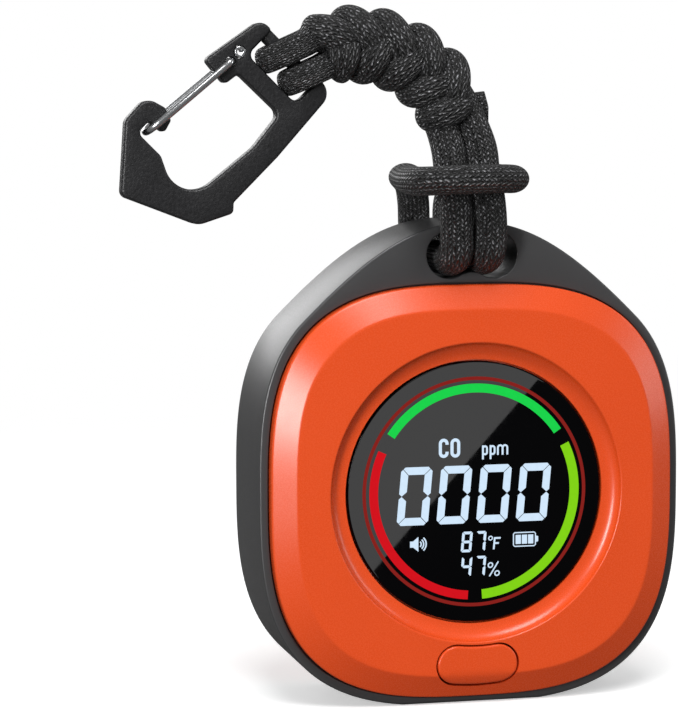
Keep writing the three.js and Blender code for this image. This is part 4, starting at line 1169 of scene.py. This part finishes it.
INNER = {
    # polarised film, rolled: almost black, smooth and glossy
    "lcd": grained("lcd_film_polarised_dark", "14181C", "0E1114", 0.22, 0.2, 0.002),
    # opal acrylic, moulded: milky and softly glossy
    "diffuser": grained("acrylic_opal_moulded", "EAF0F4", "E0E6EA", 0.45, 0.3, 0.01),
    # white ABS, moulded matt: plain off-white
    "white_plastic": grained("abs_white_moulded", "DCDCD6", "D0D0C9", 0.55, 0.2, 0.02),
    # glass-fibre board, solder masked: glossy green over a weave
    "board": grained("fibreglass_board_green_mask", "1F5E37", "174B2B", 0.38, 0.6, 0.02),
    "black_part": BLACK_PART,
    "steel": STEEL,
    # polymer, moulded: off-white and matt
    "sensor_white": grained("polymer_offwhite_moulded", "E6E2D6", "DAD5C6", 0.5, 0.2, 0.02),
    # wool felt, needled: grey, rough and without a gleam
    "felt": grained("felt_grey_needled", "7C7F81", "626567", 0.95, 0.5, 0.2, 0.0, 0.05),
    # aluminium laminate, rolled: silver with soft wrinkles
    "foil": grained("aluminium_laminate_foil", "BCC0C4", "A9ADB1", 0.3, 1.2, 0.06, 1.0),
    # closed-cell foam, blown: black with a pitted matt skin
    "foam": grained("foam_closed_cell_black", "2C2C2E", "202022", 0.9, 0.4, 0.1, 0.0, 0.05),
    # neodymium, nickel plated: bright and faintly warm
    "nickel": grained("magnet_nickel_plated", "B8B8B4", "AAAAA6", 0.2, 0.5, 0.005, 1.0, 0.05),
}


def finish_inner_parts():
    """Gives every node that stays from the solid model the finish of its material slot."""
    for row in frame["record"]["subparts"]:
        finish = INNER.get(row["material_slot"])
        node = frame["nodes"][row["node"]]
        if finish and node.material_slots:
            node.material_slots[0].material = finish


finish_inner_parts()

# ---- Stage ----


def paper():
    """White paper, lit from within a little so that it stays white where no shadow falls."""
    lit = {"Specular_IOR_Level": 0.1, "Emission_Strength": 0.42, "Emission_Color": (1, 1, 1, 1)}
    material, tree, surface = new_material("paper_white_matt", "F6F6F6", 0.7, **lit)
    place = add_node(tree, "TexCoord", {}).outputs["Object"]
    fibre = add_node(tree, "TexNoise", {"Vector": place, "Scale": 900.0, "Detail": 2.0})
    bump = add_node(tree, "Bump", {"Strength": 0.05, "Distance": 0.0001, "Height": fibre.outputs["Fac"]})
    tree.links.new(bump.outputs[0], surface.inputs["Normal"])
    away = add_node(tree, "VectorMath", {"operation": "LENGTH", 0: place}).outputs["Value"]
    limits = {"From Min": 0.1, "From Max": 0.4, "interpolation_type": "SMOOTHSTEP"}
    share = add_node(tree, "MapRange", {**limits, "Value": away})
    plain = add_node(tree, "Emission", {"Strength": 1.0})
    bright = add_node(tree, "MixShader", {0: share.outputs[0], 1: surface.outputs[0], 2: plain.outputs[0]})
    dim = add_node(tree, "BsdfDiffuse", {"Color": linear("6E6E6E")})
    seen = add_node(tree, "LightPath", {}).outputs["Is Camera Ray"]
    mixed = add_node(tree, "MixShader", {0: seen, 1: dim.outputs[0], 2: bright.outputs[0]})
    tree.links.new(mixed.outputs[0], tree.nodes["Material Output"].inputs["Surface"])
    return material


def make_stage():
    """A white floor under and behind the object, soft lights and a white surround."""
    scene = bpy.context.scene
    scene.view_settings.view_transform = "Standard"
    world = bpy.data.worlds.new("surround")
    scene.world = world
    world.use_nodes = True
    tree = world.node_tree
    back = tree.nodes["Background"]
    back.inputs["Color"].default_value = (1, 1, 1, 1)
    seen = add_node(tree, "LightPath", {}).outputs["Is Camera Ray"]
    level = add_node(tree, "MapRange", {"Value": seen, "To Min": 0.26, "To Max": 1.0})
    tree.links.new(level.outputs[0], back.inputs["Strength"])

    mesh = bpy.data.meshes.new("floor")
    half = 3.0
    corners = [(-half, -half, 0), (half, -half, 0), (half, half, 0), (-half, half, 0)]
    mesh.from_pydata(corners, [], [(0, 1, 2, 3)])
    floor = bpy.data.objects.new("floor", mesh)
    scene.collection.objects.link(floor)
    mesh.materials.append(paper())

    def area(name, place, aim, size, power, turn=0.0, gloss_only=False):
        """A soft box at a place, aimed at a point and turned about its own axis."""
        data = bpy.data.lights.new(name, "AREA")
        data.shape = "RECTANGLE"
        data.size, data.size_y, data.energy = size[0], size[1], power
        light = bpy.data.objects.new(name, data)
        scene.collection.objects.link(light)
        back = unit(np.subtract(place, aim))
        level = unit(np.cross((0, 0, 1), back))
        upright = np.cross(back, level)
        right = math.cos(turn) * level + math.sin(turn) * upright
        matrix = np.eye(4)
        matrix[:3, :3] = np.stack([right, np.cross(back, right), back], -1)
        matrix[:3, 3] = place
        light.matrix_world = Matrix(matrix.tolist())
        light.visible_camera = False
        light.visible_diffuse = not gloss_only
        return light

    area("left_softbox", (-0.62, -0.66, 0.12), (0, 0, 0.04), (0.13, 0.5), 7.2)
    area("right_softbox", (0.85, -0.3, 0.3), (0, 0, 0.05), (0.2, 0.6), 1.3)
    area("top_softbox", (-0.1, -0.45, 0.8), (0, 0, 0.04), (0.4, 0.4), 5.6)
    area("back_softbox", (-0.25, 0.95, 0.36), (0, 0, 0.07), (0.5, 0.4), 1.8)
    place, aim = (0.0, -0.0693, 0.0462), (0.0, 0, 0.0462)
    sheen = area("glass_sheen", place, aim, (0.09, 0.044), 0.085, 0.832, True)
    only_glass = bpy.data.collections.new("glass_only")
    only_glass.objects.link(bpy.data.objects["display_glass"])
    sheen.light_linking.receiver_collection = only_glass


make_stage()
